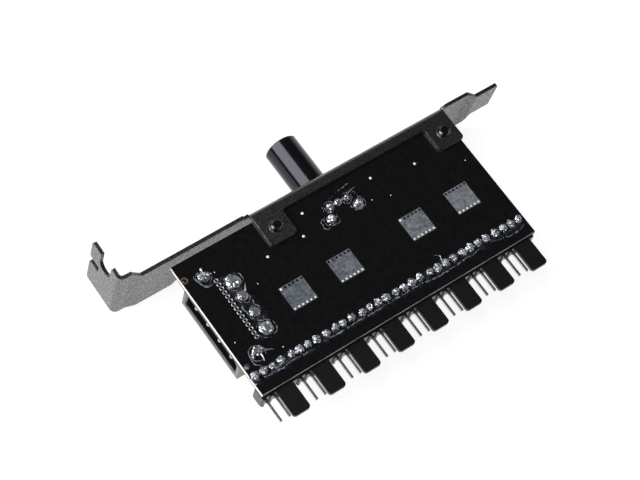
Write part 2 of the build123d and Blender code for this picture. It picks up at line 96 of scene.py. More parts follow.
def add(tree, kind, sockets=None, stops=(), **settings):
    """Adds a node: sockets gives its inputs, by name or number, a value or the outputs they take,
    and stops the places and hex colours of a colour ramp."""
    made = tree.nodes.new(kind)
    for name, value in settings.items():
        setattr(made, name, value)
    for number, (place, colour) in enumerate(stops):
        made.color_ramp.elements[number].position = place
        made.color_ramp.elements[number].color = linear(colour)
    for key, given in (sockets or {}).items():
        for value in given if isinstance(given, list) else [given]:
            if isinstance(value, bpy.types.NodeSocket):
                tree.links.new(value, made.inputs[key])
            else:
                made.inputs[key].default_value = value
    return made


def start_finish(name):
    """A new material, its empty node tree and the coordinates that its patterns use."""
    finish = bpy.data.materials.new(name)
    finish.use_nodes = True
    finish.node_tree.nodes.clear()
    where = add(finish.node_tree, "ShaderNodeTexCoord").outputs["Object"]
    return finish, finish.node_tree, where


def dress(names, finish):
    """Gives the named CAD pieces a finish."""
    for name in names:
        for held in cad[name].material_slots:
            held.material = finish


# Gloss solder mask over laminate: a wet black that mirrors its surroundings, faintly hazed by flux along the joints.
# The edges are chalky fibre, with painted shade on the fan-side edge below its top 0.55 mm, and every edge is darker
# along its bottom 0.4 mm. The drilled walls are brown.
mask, tree, where = start_finish("black_gloss_solder_mask")
place = add(tree, "ShaderNodeSeparateXYZ", {"Vector": where})
edge = add(tree, "ShaderNodeMath", {
    0: place.outputs["Z"], 1: BOARD_MIDDLE.z * MM, 2: (BOARD_HALF.z - 0.01) * MM}, operation="COMPARE")
inside_x = add(tree, "ShaderNodeMath", {
    0: place.outputs["X"], 1: BOARD_MIDDLE.x * MM, 2: (BOARD_HALF.x - 0.02) * MM}, operation="COMPARE")
inside_y = add(tree, "ShaderNodeMath", {
    0: place.outputs["Y"], 1: BOARD_MIDDLE.y * MM, 2: (BOARD_HALF.y - 0.02) * MM}, operation="COMPARE")
drilled = add(tree, "ShaderNodeMath", {0: inside_x.outputs[0], 1: inside_y.outputs[0]}, operation="MULTIPLY")
# Painted shade: on the fan side the edge is painted dark below its top 0.55 mm, standing for the shade there, out of
# the soft box's light and behind the headers. Every edge is also darker along its bottom 0.4 mm.
fan_side = add(tree, "ShaderNodeMath", {0: place.outputs["Y"], 1: BOARD_LOW.y * MM, 2: 0.02 * MM}, operation="COMPARE")
below = add(tree, "ShaderNodeMath", {0: place.outputs["Z"], 1: (SOLDER_SIDE - UNSHADED_TOP_BAND) * MM}, operation="LESS_THAN")
painted_shade_and_dark_bottom = add(tree, "ShaderNodeMath", {0: fan_side.outputs[0], 1: below.outputs[0]}, operation="MULTIPLY")
dark_bottom_band = add(tree, "ShaderNodeMath", {0: place.outputs["Z"], 1: (BOARD_LOW.z + 0.4) * MM}, operation="LESS_THAN")
painted_shade_and_dark_bottom = add(tree, "ShaderNodeMath", {0: painted_shade_and_dark_bottom.outputs[0], 1: dark_bottom_band.outputs[0]}, operation="MAXIMUM")
plies = add(tree, "ShaderNodeTexNoise", {"Vector": where, "Scale": 1 / (0.3 * MM), "Detail": 4.0}).outputs["Fac"]
chalky = add(tree, "ShaderNodeValToRGB", {"Fac": plies}, ((0.3, "#e6e6e4"), (0.7, "#fafaf8"))).outputs["Color"]
brown = add(tree, "ShaderNodeValToRGB", {"Fac": plies}, ((0.3, "#241a13"), (0.7, "#43342a"))).outputs["Color"]
dark = add(tree, "ShaderNodeValToRGB", {"Fac": plies}, ((0.3, "#1d1d1c"), (0.7, "#363633"))).outputs["Color"]
bare = add(tree, "ShaderNodeMix", {"Factor": drilled.outputs[0], 6: chalky, 7: brown}, data_type="RGBA")
bare = add(tree, "ShaderNodeMix", {"Factor": painted_shade_and_dark_bottom.outputs[0], 6: bare.outputs[2], 7: dark}, data_type="RGBA")
fumes = add(tree, "ShaderNodeTexNoise", {
    "Vector": where, "Scale": 1 / (1.6 * MM), "Detail": 3.0, "Roughness": 0.6}).outputs["Fac"]
skin = add(tree, "ShaderNodeValToRGB", {"Fac": fumes}, ((0.35, "#0c0c0d"), (0.75, "#131315"))).outputs["Color"]
from_row = add(tree, "ShaderNodeMath", {0: place.outputs["Y"], 1: FUMED_ROW_Y * MM}, operation="SUBTRACT")
from_row = add(tree, "ShaderNodeMath", {0: from_row.outputs[0]}, operation="ABSOLUTE")
by_row = add(tree, "ShaderNodeMapRange", {
    "Value": from_row.outputs[0], "From Min": 0.9 * MM, "From Max": 1.9 * MM, "To Min": 1.0, "To Max": 0.0})
from_inlet = add(tree, "ShaderNodeMath", {0: place.outputs["X"], 1: FUMED_INLET[0] * MM}, operation="SUBTRACT")
from_inlet = add(tree, "ShaderNodeMath", {0: from_inlet.outputs[0]}, operation="ABSOLUTE")
by_inlet = add(tree, "ShaderNodeMapRange", {
    "Value": from_inlet.outputs[0], "From Min": 1.6 * MM, "From Max": 3.4 * MM, "To Min": 1.0, "To Max": 0.0})
along_inlet = add(tree, "ShaderNodeMath", {0: place.outputs["Y"], 1: FUMED_INLET[1] * MM, 2: 9.6 * MM}, operation="COMPARE")
by_inlet = add(tree, "ShaderNodeMath", {0: by_inlet.outputs["Result"], 1: along_inlet.outputs[0]}, operation="MULTIPLY")
near = add(tree, "ShaderNodeMath", {0: by_row.outputs["Result"], 1: by_inlet.outputs[0]}, operation="MAXIMUM")
patchy = add(tree, "ShaderNodeMapRange", {"Value": fumes, "From Min": 0.42, "From Max": 0.68})
hazed = add(tree, "ShaderNodeMath", {0: near.outputs[0], 1: patchy.outputs["Result"]}, operation="MULTIPLY")
skin = add(tree, "ShaderNodeMix", {"Factor": hazed.outputs[0], 6: skin, 7: linear("#2b2d35")}, data_type="RGBA").outputs[2]
colour = add(tree, "ShaderNodeMix", {"Factor": edge.outputs[0], 6: skin, 7: bare.outputs[2]}, data_type="RGBA")
gloss = add(tree, "ShaderNodeMapRange", {"Value": edge.outputs[0], "To Min": 0.12, "To Max": 0.75})
ripple = add(tree, "ShaderNodeTexNoise", {"Vector": where, "Scale": 1 / (2.2 * MM), "Detail": 2.0})
relief = add(tree, "ShaderNodeBump", {"Height": ripple.outputs["Fac"], "Strength": 0.25, "Distance": 0.02 * MM})
shader = add(tree, "ShaderNodeBsdfPrincipled", {
    "Base Color": colour.outputs[2], "Roughness": gloss.outputs["Result"], "Normal": relief.outputs["Normal"], "IOR": 1.5})
add(tree, "ShaderNodeOutputMaterial", {"Surface": shader.outputs["BSDF"]})
dress(["board"], mask)


# Plated holes. The fifteen spare holes have a tinned rim and sleeve, and the locating hole at the
# bracket has a ring where the mask was left off. They are plated and printed with the board.
SPARE_X, SPARE_TOP_Y, SPARE_PITCH, SPARE_COUNT = 20.55, -16.91, 1.27, 15
SPARE_RADIUS, SPARE_RIM = 0.37, 0.24


def seeds(name, points, lines=(), **values):
    """A mesh of points in mm, some joined by lines, with a length in mm for each point under each name."""
    mesh = bpy.data.meshes.new(name)
    mesh.from_pydata([Vector(point) * MM for point in points], list(lines), [])
    for label, lengths in values.items():
        mesh.attributes.new(label, "FLOAT", "POINT").data.foreach_set("value", [length * MM for length in lengths])
    return mesh


def start_tree(name, **inputs):
    """A new geometry tree with named inputs, and the outputs of its input node."""
    tree = bpy.data.node_groups.new(name, "GeometryNodeTree")
    tree.interface.new_socket("Geometry", in_out="OUTPUT", socket_type="NodeSocketGeometry")
    tree.interface.new_socket("Geometry", in_out="INPUT", socket_type="NodeSocketGeometry")
    for label, kind in inputs.items():
        tree.interface.new_socket(label, in_out="INPUT", socket_type="NodeSocket" + kind)
    return tree, add(tree, "NodeGroupInput").outputs


def close_tree(tree, shape, finish):
    """Ends a geometry tree: real, smooth-shaded faces with a finish."""
    shape = add(tree, "GeometryNodeRealizeInstances", {0: shape}).outputs[0]
    shape = add(tree, "GeometryNodeSetShadeSmooth", {0: shape}).outputs[0]
    shape = add(tree, "GeometryNodeSetMaterial", {"Geometry": shape, "Material": finish}).outputs[0]
    add(tree, "NodeGroupOutput", {0: shape})


def grow(seed, tree, slot, **inputs):
    """Runs a geometry tree on a seed mesh and keeps the result as a plain mesh that rides on the hub."""
    piece = bpy.data.objects.new(seed.name, seed)
    bpy.context.scene.collection.objects.link(piece)
    run = piece.modifiers.new("grow", "NODES")
    run.node_group = tree
    for item in tree.interface.items_tree:
        if item.in_out == "INPUT" and item.name in inputs:
            run[item.identifier] = inputs[item.name]
    ready = piece.evaluated_get(bpy.context.evaluated_depsgraph_get())
    mesh = bpy.data.meshes.new_from_object(ready)
    piece.modifiers.remove(run)
    piece.data = mesh
    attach(piece, "hub")
    return piece


rims, given = start_tree("plated_holes", hole_radius="Float", rim_width="Float", rim_rise="Float", sleeve="Float",
                         finish="Material")
half = add(rims, "ShaderNodeMath", {0: given["rim_width"], 1: 0.5}, operation="MULTIPLY").outputs[0]
middle = add(rims, "ShaderNodeMath", {0: given["hole_radius"], 1: half}, operation="ADD").outputs[0]
drop = add(rims, "ShaderNodeMath", {0: given["sleeve"], 1: -0.5}, operation="MULTIPLY").outputs[0]
path = add(rims, "GeometryNodeCurvePrimitiveCircle", {"Resolution": 24, "Radius": middle}).outputs[0]
bead = add(rims, "GeometryNodeCurvePrimitiveCircle", {"Resolution": 8, "Radius": half}).outputs[0]
ring = add(rims, "GeometryNodeCurveToMesh", {"Curve": path, "Profile Curve": bead}).outputs[0]
flat = add(rims, "ShaderNodeCombineXYZ", {"X": 1.0, "Y": 1.0, "Z": given["rim_rise"]}).outputs[0]
ring = add(rims, "GeometryNodeTransform", {"Geometry": ring, "Scale": flat}).outputs[0]
bore = add(rims, "GeometryNodeCurvePrimitiveCircle", {"Resolution": 24, "Radius": given["hole_radius"]}).outputs[0]
wall = add(rims, "GeometryNodeCurvePrimitiveQuadrilateral", {"Width": 0.04 * MM, "Height": given["sleeve"]}).outputs[0]
tube = add(rims, "GeometryNodeCurveToMesh", {"Curve": bore, "Profile Curve": wall}).outputs[0]
lower = add(rims, "ShaderNodeCombineXYZ", {"Z": drop}).outputs[0]
tube = add(rims, "GeometryNodeTransform", {"Geometry": tube, "Translation": lower}).outputs[0]
both = add(rims, "GeometryNodeJoinGeometry", {0: [ring, tube]}).outputs[0]
placed = add(rims, "GeometryNodeInstanceOnPoints", {"Points": given["Geometry"], "Instance": both}).outputs[0]
close_tree(rims, placed, given["finish"])

# Tin plate: bright neutral grey metal with duller clouds.
tin, tree, where = start_finish("bright_tin_plate")
haze = add(tree, "ShaderNodeTexNoise", {"Vector": where, "Scale": 1 / (0.6 * MM), "Detail": 3.0}).outputs["Fac"]
gloss = add(tree, "ShaderNodeMapRange", {"Value": haze, "To Min": 0.3, "To Max": 0.42})
colour = add(tree, "ShaderNodeValToRGB", {"Fac": haze}, ((0.0, "#a9aaad"), (1.0, "#e2e3e6"))).outputs["Color"]
shader = add(tree, "ShaderNodeBsdfPrincipled", {
    "Base Color": colour, "Roughness": gloss.outputs["Result"], "Metallic": 1.0})
add(tree, "ShaderNodeOutputMaterial", {"Surface": shader.outputs["BSDF"]})

spare = [(SPARE_X, SPARE_TOP_Y - SPARE_PITCH * i, SOLDER_SIDE) for i in range(SPARE_COUNT)]
grow(seeds("spare_hole_rims", spare), rims, "tinned_copper", hole_radius=SPARE_RADIUS * MM, rim_width=SPARE_RIM * MM,
     rim_rise=0.5, sleeve=0.3 * MM, finish=tin)

# Bare laminate: brown glass-fibre board, cut by the drill, with a dry fibrous surface.
laminate, tree, where = start_finish("bare_glass_fibre_laminate")
strands = add(tree, "ShaderNodeTexNoise", {"Vector": where, "Scale": 1 / (0.2 * MM), "Detail": 4.0}).outputs["Fac"]
colour = add(tree, "ShaderNodeValToRGB", {"Fac": strands}, ((0.3, "#3f2d21"), (0.7, "#665040"))).outputs["Color"]
shader = add(tree, "ShaderNodeBsdfPrincipled", {"Base Color": colour, "Roughness": 0.7})
add(tree, "ShaderNodeOutputMaterial", {"Surface": shader.outputs["BSDF"]})
LOCATING = (13.85, -12.9)
grow(seeds("locating_ring", [(*LOCATING, SOLDER_SIDE)]), rims, "black_laminate", hole_radius=0.6 * MM, rim_width=0.36 * MM,
     rim_rise=0.15, sleeve=1.4 * MM, finish=laminate)


# Heat pads. Four squares of tinned copper that cool the power transistors, each with a row of open
# holes along one edge and a row of solder-filled ones along the other. They are etched on the board.
PADS = [(36.0, -30.4), (50.65, -30.4), (73.5, -30.4), (88.3, -30.4)]
PAD_SIZE, PAD_THICKNESS = 7.1, 0.1
VIA_PITCH, VIA_INSET, VIA_RADIUS = 1.23, 0.5, 0.34

pads, given = start_tree("heat_pads", size="Float", thickness="Float", via_radius="Float", via_pitch="Float", via_inset="Float",
                         finish="Material")
square = add(pads, "GeometryNodeCurvePrimitiveQuadrilateral", {"Width": given["size"], "Height": given["size"]}).outputs[0]
first_x = add(pads, "ShaderNodeMath", {0: given["via_pitch"], 1: -2.5}, operation="MULTIPLY").outputs[0]
half = add(pads, "ShaderNodeMath", {0: given["size"], 1: 0.5}, operation="MULTIPLY").outputs[0]
row_y = add(pads, "ShaderNodeMath", {0: half, 1: given["via_inset"]}, operation="SUBTRACT").outputs[0]
start = add(pads, "ShaderNodeCombineXYZ", {"X": first_x, "Y": row_y}).outputs[0]
step = add(pads, "ShaderNodeCombineXYZ", {"X": given["via_pitch"]}).outputs[0]
row = add(pads, "GeometryNodeMeshLine", {"Count": 6, "Start Location": start, "Offset": step}).outputs[0]
hole = add(pads, "GeometryNodeCurvePrimitiveCircle", {"Resolution": 16, "Radius": given["via_radius"]}).outputs[0]
holes = add(pads, "GeometryNodeInstanceOnPoints", {"Points": row, "Instance": hole}).outputs[0]
holes = add(pads, "GeometryNodeRealizeInstances", {0: holes}).outputs[0]
outline = add(pads, "GeometryNodeJoinGeometry", {0: [square, holes]}).outputs[0]
face = add(pads, "GeometryNodeFillCurve", {"Curve": outline}).outputs[0]
raised = add(pads, "GeometryNodeExtrudeMesh", {"Mesh": face, "Offset Scale": given["thickness"], "Individual": False}).outputs[0]
under = add(pads, "GeometryNodeFlipFaces", {"Mesh": face}).outputs[0]
plate = add(pads, "GeometryNodeJoinGeometry", {0: [raised, under]}).outputs[0]
plate = add(pads, "GeometryNodeMergeByDistance", {"Geometry": plate, "Distance": 0.001 * MM}).outputs[0]
placed = add(pads, "GeometryNodeInstanceOnPoints", {"Points": given["Geometry"], "Instance": plate}).outputs[0]
placed = add(pads, "GeometryNodeRealizeInstances", {0: placed}).outputs[0]
placed = add(pads, "GeometryNodeSetMaterial", {"Geometry": placed, "Material": given["finish"]}).outputs[0]
add(pads, "NodeGroupOutput", {0: placed})

# Hot-air levelled tin on copper: cool grey and matt, with streaks where the air wiped it along the board and blotches
# of a dull crust. It is paler towards the far end.
levelled, tree, where = start_finish("hot_air_levelled_tin")
swept = add(tree, "ShaderNodeMapping", {
    "Vector": where, "Rotation": (0, 0, 0.9), "Scale": (1 / (3 * MM), 1 / (0.6 * MM), 1 / MM)})
streaks = add(tree, "ShaderNodeTexNoise", {"Vector": swept.outputs["Vector"], "Scale": 1.0, "Detail": 4.0}).outputs["Fac"]
crust = add(tree, "ShaderNodeTexNoise", {
    "Vector": where, "Scale": 1 / (0.9 * MM), "Detail": 4.0, "Roughness": 0.65}).outputs["Fac"]
mixed = add(tree, "ShaderNodeMath", {0: streaks, 1: crust}, operation="ADD")
mixed = add(tree, "ShaderNodeMath", {0: mixed.outputs[0], 1: 0.5}, operation="MULTIPLY").outputs[0]
gloss = add(tree, "ShaderNodeMapRange", {"Value": crust, "To Min": 0.3, "To Max": 0.6})
relief = add(tree, "ShaderNodeBump", {"Height": mixed, "Strength": 0.8, "Distance": 0.1 * MM})
along = add(tree, "ShaderNodeSeparateXYZ", {"Vector": where}).outputs["X"]
towards_far_end = add(tree, "ShaderNodeMapRange", {"Value": along, "From Min": PADS[0][0] * MM, "From Max": PADS[-1][0] * MM})
near_end_tone = add(tree, "ShaderNodeValToRGB", {"Fac": mixed}, ((0.36, "#6b707b"), (0.64, "#aab0bb"))).outputs["Color"]
pale = add(tree, "ShaderNodeValToRGB", {"Fac": mixed}, ((0.36, "#9ba0ab"), (0.64, "#d2d7df"))).outputs["Color"]
colour = add(tree, "ShaderNodeMix", {
    "Factor": towards_far_end.outputs["Result"], 6: near_end_tone, 7: pale}, data_type="RGBA").outputs[2]
shader = add(tree, "ShaderNodeBsdfPrincipled", {
    "Base Color": colour, "Roughness": gloss.outputs["Result"], "Normal": relief.outputs["Normal"], "Metallic": 0.9})
add(tree, "ShaderNodeOutputMaterial", {"Surface": shader.outputs["BSDF"]})

plates = grow(seeds("heat_pad_plates", [(x, y, SOLDER_SIDE) for x, y in PADS]), pads, "tinned_copper",
              size=PAD_SIZE * MM, thickness=PAD_THICKNESS * MM, via_radius=VIA_RADIUS * MM, via_pitch=VIA_PITCH * MM,
              via_inset=VIA_INSET * MM, finish=levelled)
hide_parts("heat_pads")


# Filled vias. Small holes between the board's faces, closed by beads of solder: along the lower edge
# of each pad, and scattered over the board.
BEADS = [(71.1, -13.3), (49.9, -12.6), (46.4, -18.1), (83.7, -15.84), (35.3, -18.16)]
SPECKS = [(67.7, -18.7), (72.65, -20.1), (95.95, -21.9), (28.93, -22.97), (15.06, -33.2), (24.48, -40.25),
          (20.5, -14.6), (21.5, -14.8), (54.2, -18.88), (13.2, -44.9)]

beads, given = start_tree("solder_beads", finish="Material")
wide = add(beads, "GeometryNodeInputNamedAttribute", {"Name": "wide"}).outputs["Attribute"]
high = add(beads, "GeometryNodeInputNamedAttribute", {"Name": "high"}).outputs["Attribute"]
ball = add(beads, "GeometryNodeMeshIcoSphere", {"Radius": 1.0, "Subdivisions": 3}).outputs["Mesh"]
squat = add(beads, "ShaderNodeCombineXYZ", {"X": wide, "Y": wide, "Z": high}).outputs[0]
placed = add(beads, "GeometryNodeInstanceOnPoints", {"Points": given["Geometry"], "Instance": ball, "Scale": squat}).outputs[0]
close_tree(beads, placed, given["finish"])

# Solder: bright tin with a smooth skin that dulls in places, and clear flux drying on it.
solder, tree, where = start_finish("bright_solder")
skin = add(tree, "ShaderNodeTexNoise", {"Vector": where, "Scale": 1 / (0.5 * MM), "Detail": 3.0}).outputs["Fac"]
gloss = add(tree, "ShaderNodeMapRange", {"Value": skin, "To Min": 0.2, "To Max": 0.4})
relief = add(tree, "ShaderNodeBump", {"Height": skin, "Strength": 0.5, "Distance": 0.1 * MM})
colour = add(tree, "ShaderNodeValToRGB", {"Fac": skin}, ((0.3, "#9da1ab"), (0.7, "#dcdfe4"))).outputs["Color"]
shader = add(tree, "ShaderNodeBsdfPrincipled", {
    "Base Color": colour, "Roughness": gloss.outputs["Result"], "Normal": relief.outputs["Normal"], "Metallic": 1.0})
add(tree, "ShaderNodeOutputMaterial", {"Surface": shader.outputs["BSDF"]})

# Dull solder: the same metal frozen with a frosted skin, painted near white as a painted highlight, standing for the
# soft box mirrored in the small beads and lug tips.
painted_white_solder, tree, where = start_finish("solder_painted_white_highlight")
flecks = add(tree, "ShaderNodeTexNoise", {"Vector": where, "Scale": 1 / (0.2 * MM), "Detail": 2.0}).outputs["Fac"]
colour = add(tree, "ShaderNodeValToRGB", {"Fac": flecks}, ((0.2, "#dcdcd6"), (0.8, "#fafaf7"))).outputs["Color"]
shader = add(tree, "ShaderNodeBsdfPrincipled", {"Base Color": colour, "Roughness": 0.5, "Metallic": 0.35})
add(tree, "ShaderNodeOutputMaterial", {"Surface": shader.outputs["BSDF"]})

spots, wide, high = [], [], []
for x, y in BEADS:
    spots.append((x, y, SOLDER_SIDE))
    wide.append(0.4)
    high.append(0.18)
for x, y in SPECKS:
    spots.append((x, y, SOLDER_SIDE))
    wide.append(0.17)
    high.append(0.08)
for number, (x, y) in enumerate(PADS):
    for i in range(6):
        spots.append((x + (i - 2.5) * VIA_PITCH, y - PAD_SIZE / 2 + 0.45, SOLDER_SIDE + PAD_THICKNESS))
        wide.append(0.3)
        high.append(0.1)
    if number in (0, 2):
        spots.append((x - 2.5 * VIA_PITCH, y + PAD_SIZE / 2 - VIA_INSET, SOLDER_SIDE + PAD_THICKNESS))
        wide.append(0.36)
        high.append(0.14)
# The beads wear the near-white solder: a painted highlight.
grow(seeds("filled_vias", spots, wide=wide, high=high), beads, "solder", finish=painted_white_solder)


# Power transistors. Black epoxy mouldings on tinned copper lead frames, soldered flat to the
# component side over the four heat pads.
TRANSISTORS = [f"transistor_{i}" for i in range(1, 5)]
LEADS = [f"transistor_leads_{i}" for i in range(1, 5)]


def ease_edges(names, width):
    """Rounds the sharp edges of CAD pieces by a width in mm, as paint, moulding or stamping does."""
    for name in names:
        weld = cad[name].modifiers.new("weld", "WELD")
        weld.merge_threshold = 0.0005 * MM
        flats = cad[name].modifiers.new("flats", "DECIMATE")
        flats.decimate_type = "DISSOLVE"
        flats.angle_limit = math.radians(0.5)
        edge = cad[name].modifiers.new("edge", "BEVEL")
        edge.offset_type = "ABSOLUTE"
        edge.width = width * MM
        edge.segments = 2
        edge.limit_method = "ANGLE"
        edge.angle_limit = math.radians(38)
        edge.use_clamp_overlap = False
        shade = cad[name].modifiers.new("shade", "WEIGHTED_NORMAL")
        shade.keep_sharp = False


# Moulding compound: dry charcoal black with a fine sandy grain from the mould.
epoxy, tree, where = start_finish("black_moulding_compound")
sand = add(tree, "ShaderNodeTexNoise", {"Vector": where, "Scale": 1 / (0.15 * MM), "Detail": 3.0}).outputs["Fac"]
relief = add(tree, "ShaderNodeBump", {"Height": sand, "Strength": 0.5, "Distance": 0.02 * MM})
colour = add(tree, "ShaderNodeValToRGB", {"Fac": sand}, ((0.0, "#17181a"), (1.0, "#2a2b2d"))).outputs["Color"]
shader = add(tree, "ShaderNodeBsdfPrincipled", {
    "Base Color": colour, "Roughness": 0.55, "Normal": relief.outputs["Normal"]})
add(tree, "ShaderNodeOutputMaterial", {"Surface": shader.outputs["BSDF"]})
dress(TRANSISTORS, epoxy)
ease_edges(TRANSISTORS, 0.08)
dress(LEADS, tin)


# Fan headers. Eight black nylon mouldings, each a wall that holds four pins and a friction key
# that stands out over them. They are soldered side by side along the board's edge.
HEADERS = [f"fan_header_{i}" for i in range(1, 9)]

# Moulded nylon: satin black with faint flow mottling and a fine spark-eroded grain.
nylon, tree, where = start_finish("black_moulded_nylon")
flow = add(tree, "ShaderNodeTexNoise", {"Vector": where, "Scale": 1 / (3 * MM), "Detail": 2.0}).outputs["Fac"]
grain = add(tree, "ShaderNodeTexNoise", {"Vector": where, "Scale": 1 / (0.25 * MM), "Detail": 2.0}).outputs["Fac"]
gloss = add(tree, "ShaderNodeMapRange", {"Value": grain, "To Min": 0.22, "To Max": 0.34})
relief = add(tree, "ShaderNodeBump", {"Height": grain, "Strength": 0.3, "Distance": 0.02 * MM})
colour = add(tree, "ShaderNodeValToRGB", {"Fac": flow}, ((0.0, "#0e0e0f"), (1.0, "#171718"))).outputs["Color"]
shader = add(tree, "ShaderNodeBsdfPrincipled", {
    "Base Color": colour, "Roughness": gloss.outputs["Result"], "Normal": relief.outputs["Normal"], "IOR": 1.6})
add(tree, "ShaderNodeOutputMaterial", {"Surface": shader.outputs["BSDF"]})
dress(HEADERS, nylon)
ease_edges(HEADERS, 0.1)

# Ribs on the front of each wall stiffen it between the pins.
HEADER_FRONT, FIRST_PIN_X, HEADER_PITCH, PIN_PITCH = -48.6, 14.24, 10.75, 2.54
RIB_WIDTH, RIB_DEPTH, RIB_LENGTH = 0.75, 0.7, 4.2
ribs, given = start_tree("header_ribs", width="Float", depth="Float", length="Float", finish="Material")
bar = add(ribs, "GeometryNodeCurvePrimitiveQuadrilateral", {"Width": given["width"], "Height": given["depth"]}).outputs[0]
corner = add(ribs, "ShaderNodeMath", {0: given["depth"], 1: 0.2}, operation="MULTIPLY").outputs[0]
bar = add(ribs, "GeometryNodeFilletCurve", {"Curve": bar, "Count": 2, "Radius": corner}, mode="POLY").outputs[0]
face = add(ribs, "GeometryNodeFillCurve", {"Curve": bar}, mode="NGONS").outputs[0]
stood = add(ribs, "GeometryNodeExtrudeMesh", {"Mesh": face, "Offset Scale": given["length"], "Individual": False}).outputs[0]
foot = add(ribs, "GeometryNodeFlipFaces", {"Mesh": face}).outputs[0]
rib = add(ribs, "GeometryNodeJoinGeometry", {0: [stood, foot]}).outputs[0]
rib = add(ribs, "GeometryNodeMergeByDistance", {"Geometry": rib, "Distance": 0.001 * MM}).outputs[0]
placed = add(ribs, "GeometryNodeInstanceOnPoints", {"Points": given["Geometry"], "Instance": rib}).outputs[0]
placed = add(ribs, "GeometryNodeRealizeInstances", {0: placed}).outputs[0]
placed = add(ribs, "GeometryNodeSetMaterial", {"Geometry": placed, "Material": given["finish"]}).outputs[0]
add(ribs, "NodeGroupOutput", {0: placed})
spots = [(FIRST_PIN_X + i * HEADER_PITCH + (k + 0.5) * PIN_PITCH, HEADER_FRONT, BOARD_LOW.z - 0.3 - RIB_LENGTH)
         for i in range(8) for k in (-0.85, 0, 1, 2)]
grow(seeds("header_ribs", spots), ribs, "header_plastic", width=RIB_WIDTH * MM, depth=RIB_DEPTH * MM,
     length=RIB_LENGTH * MM, finish=nylon)


# Fan pins. Square brass wire, tin plated and bent once, four in each header.
FAN_PINS = [f"fan_pins_{i}" for i in range(1, 9)]
dress(FAN_PINS, tin)
ease_edges(FAN_PINS, 0.05)


# Power inlet. A black nylon shroud with a keyed mouth, four round tinned pins and two blades
# that hold it on the board. A sloped lip leads the plug in, and a peg sits in the board's hole.
LIP_THICKNESS, LIP_DEPTH = 0.3, 0.45
INLET_LOW, INLET_HIGH = (Vector(corner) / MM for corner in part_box("inlet_housing"))
INLET_WALL, INLET_BEVEL = 1.1, 0.9

# Nylon with painted light: the same satin black, with the front of the mouth below the board painted grey, standing for
# the soft box's light on that lamp-facing face.
lit_mouth_nylon, tree, where = start_finish("black_nylon_painted_lit_at_the_mouth")
grain = add(tree, "ShaderNodeTexNoise", {"Vector": where, "Scale": 1 / (0.25 * MM), "Detail": 2.0}).outputs["Fac"]
place = add(tree, "ShaderNodeSeparateXYZ", {"Vector": where}).outputs
# Painted light: the front 0.34 mm of the shroud, fading out by 0.4 mm, is painted grey below the board.
front = add(tree, "ShaderNodeMapRange", {
    "Value": place["X"], "From Min": (INLET_LOW.x + 0.34) * MM, "From Max": (INLET_LOW.x + 0.4) * MM,
    "To Min": 1.0, "To Max": 0.0})
lower = add(tree, "ShaderNodeMath", {0: place["Z"], 1: (BOARD_LOW.z - 1.3) * MM}, operation="LESS_THAN")
painted_light = add(tree, "ShaderNodeMath", {0: front.outputs["Result"], 1: lower.outputs[0]}, operation="MULTIPLY").outputs[0]
satin = add(tree, "ShaderNodeValToRGB", {"Fac": grain}, ((0.0, "#0e0e0f"), (1.0, "#171718"))).outputs["Color"]
lit_grey = add(tree, "ShaderNodeValToRGB", {"Fac": grain}, ((0.3, "#525254"), (0.7, "#6c6c6e"))).outputs["Color"]
colour = add(tree, "ShaderNodeMix", {"Factor": painted_light, 6: satin, 7: lit_grey}, data_type="RGBA").outputs[2]
relief = add(tree, "ShaderNodeBump", {"Height": grain, "Strength": 0.3, "Distance": 0.02 * MM})
shader = add(tree, "ShaderNodeBsdfPrincipled", {
    "Base Color": colour, "Roughness": 0.28, "Normal": relief.outputs["Normal"], "IOR": 1.6})
add(tree, "ShaderNodeOutputMaterial", {"Surface": shader.outputs["BSDF"]})
dress(["inlet_housing"], lit_mouth_nylon)
ease_edges(["inlet_housing"], 0.12)
dress(["inlet_pins", "inlet_locks"], tin)
NOSE_X, NOSE_LEVEL, NOSE_RADIUS = 14.4, -5.35, 0.72
noses = [(NOSE_X, y, NOSE_LEVEL) for y in (-18.78, -23.86, -28.94, -34.02)]
grow(seeds("inlet_pin_noses", noses, wide=[NOSE_RADIUS] * 4, high=[NOSE_RADIUS] * 4), beads, "tinned_brass", finish=tin)

mouth = []
low_y, high_y = INLET_LOW.y + INLET_WALL, INLET_HIGH.y - INLET_WALL
low_z, high_z = INLET_LOW.z + INLET_WALL, BOARD_LOW.z - INLET_WALL
for inset in (-0.05, LIP_THICKNESS):
    cut = INLET_BEVEL - 0.4 * inset
    mouth.append([(low_y + inset, low_z + inset), (high_y - inset, low_z + inset),
                  (high_y - inset, high_z - inset - cut), (high_y - inset - cut, high_z - inset),
                  (low_y + inset + cut, high_z - inset), (low_y + inset, high_z - inset - cut)])
sides = len(mouth[0])
rings = [(INLET_LOW.x + 0.15, mouth[0]), (INLET_LOW.x + LIP_DEPTH, mouth[1]), (INLET_LOW.x + LIP_DEPTH + 1.2, mouth[0])]
points = [Vector((x, y, z)) * MM for x, outline in rings for y, z in outline]
faces = [(a * sides + i, a * sides + (i + 1) % sides, b * sides + (i + 1) % sides, b * sides + i)
         for a, b in ((0, 1), (1, 2), (2, 0)) for i in range(sides)]
lip_mesh = bpy.data.meshes.new("inlet_lip")
lip_mesh.from_pydata(points, [], faces)
lip_shape = bmesh.new()
lip_shape.from_mesh(lip_mesh)
bmesh.ops.recalc_face_normals(lip_shape, faces=lip_shape.faces)
lip_shape.to_mesh(lip_mesh)
lip_shape.free()
lip = bpy.data.objects.new("inlet_lip", lip_mesh)
bpy.context.scene.collection.objects.link(lip)
# The lip wears the same nylon, so its front carries the painted light too.
lip_mesh.materials.append(lit_mouth_nylon)
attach(lip, "hub")

grow(seeds("locating_peg", [(*LOCATING, SOLDER_SIDE - 0.45)], wide=[0.62], high=[0.3]), beads, "inlet_plastic", finish=nylon)


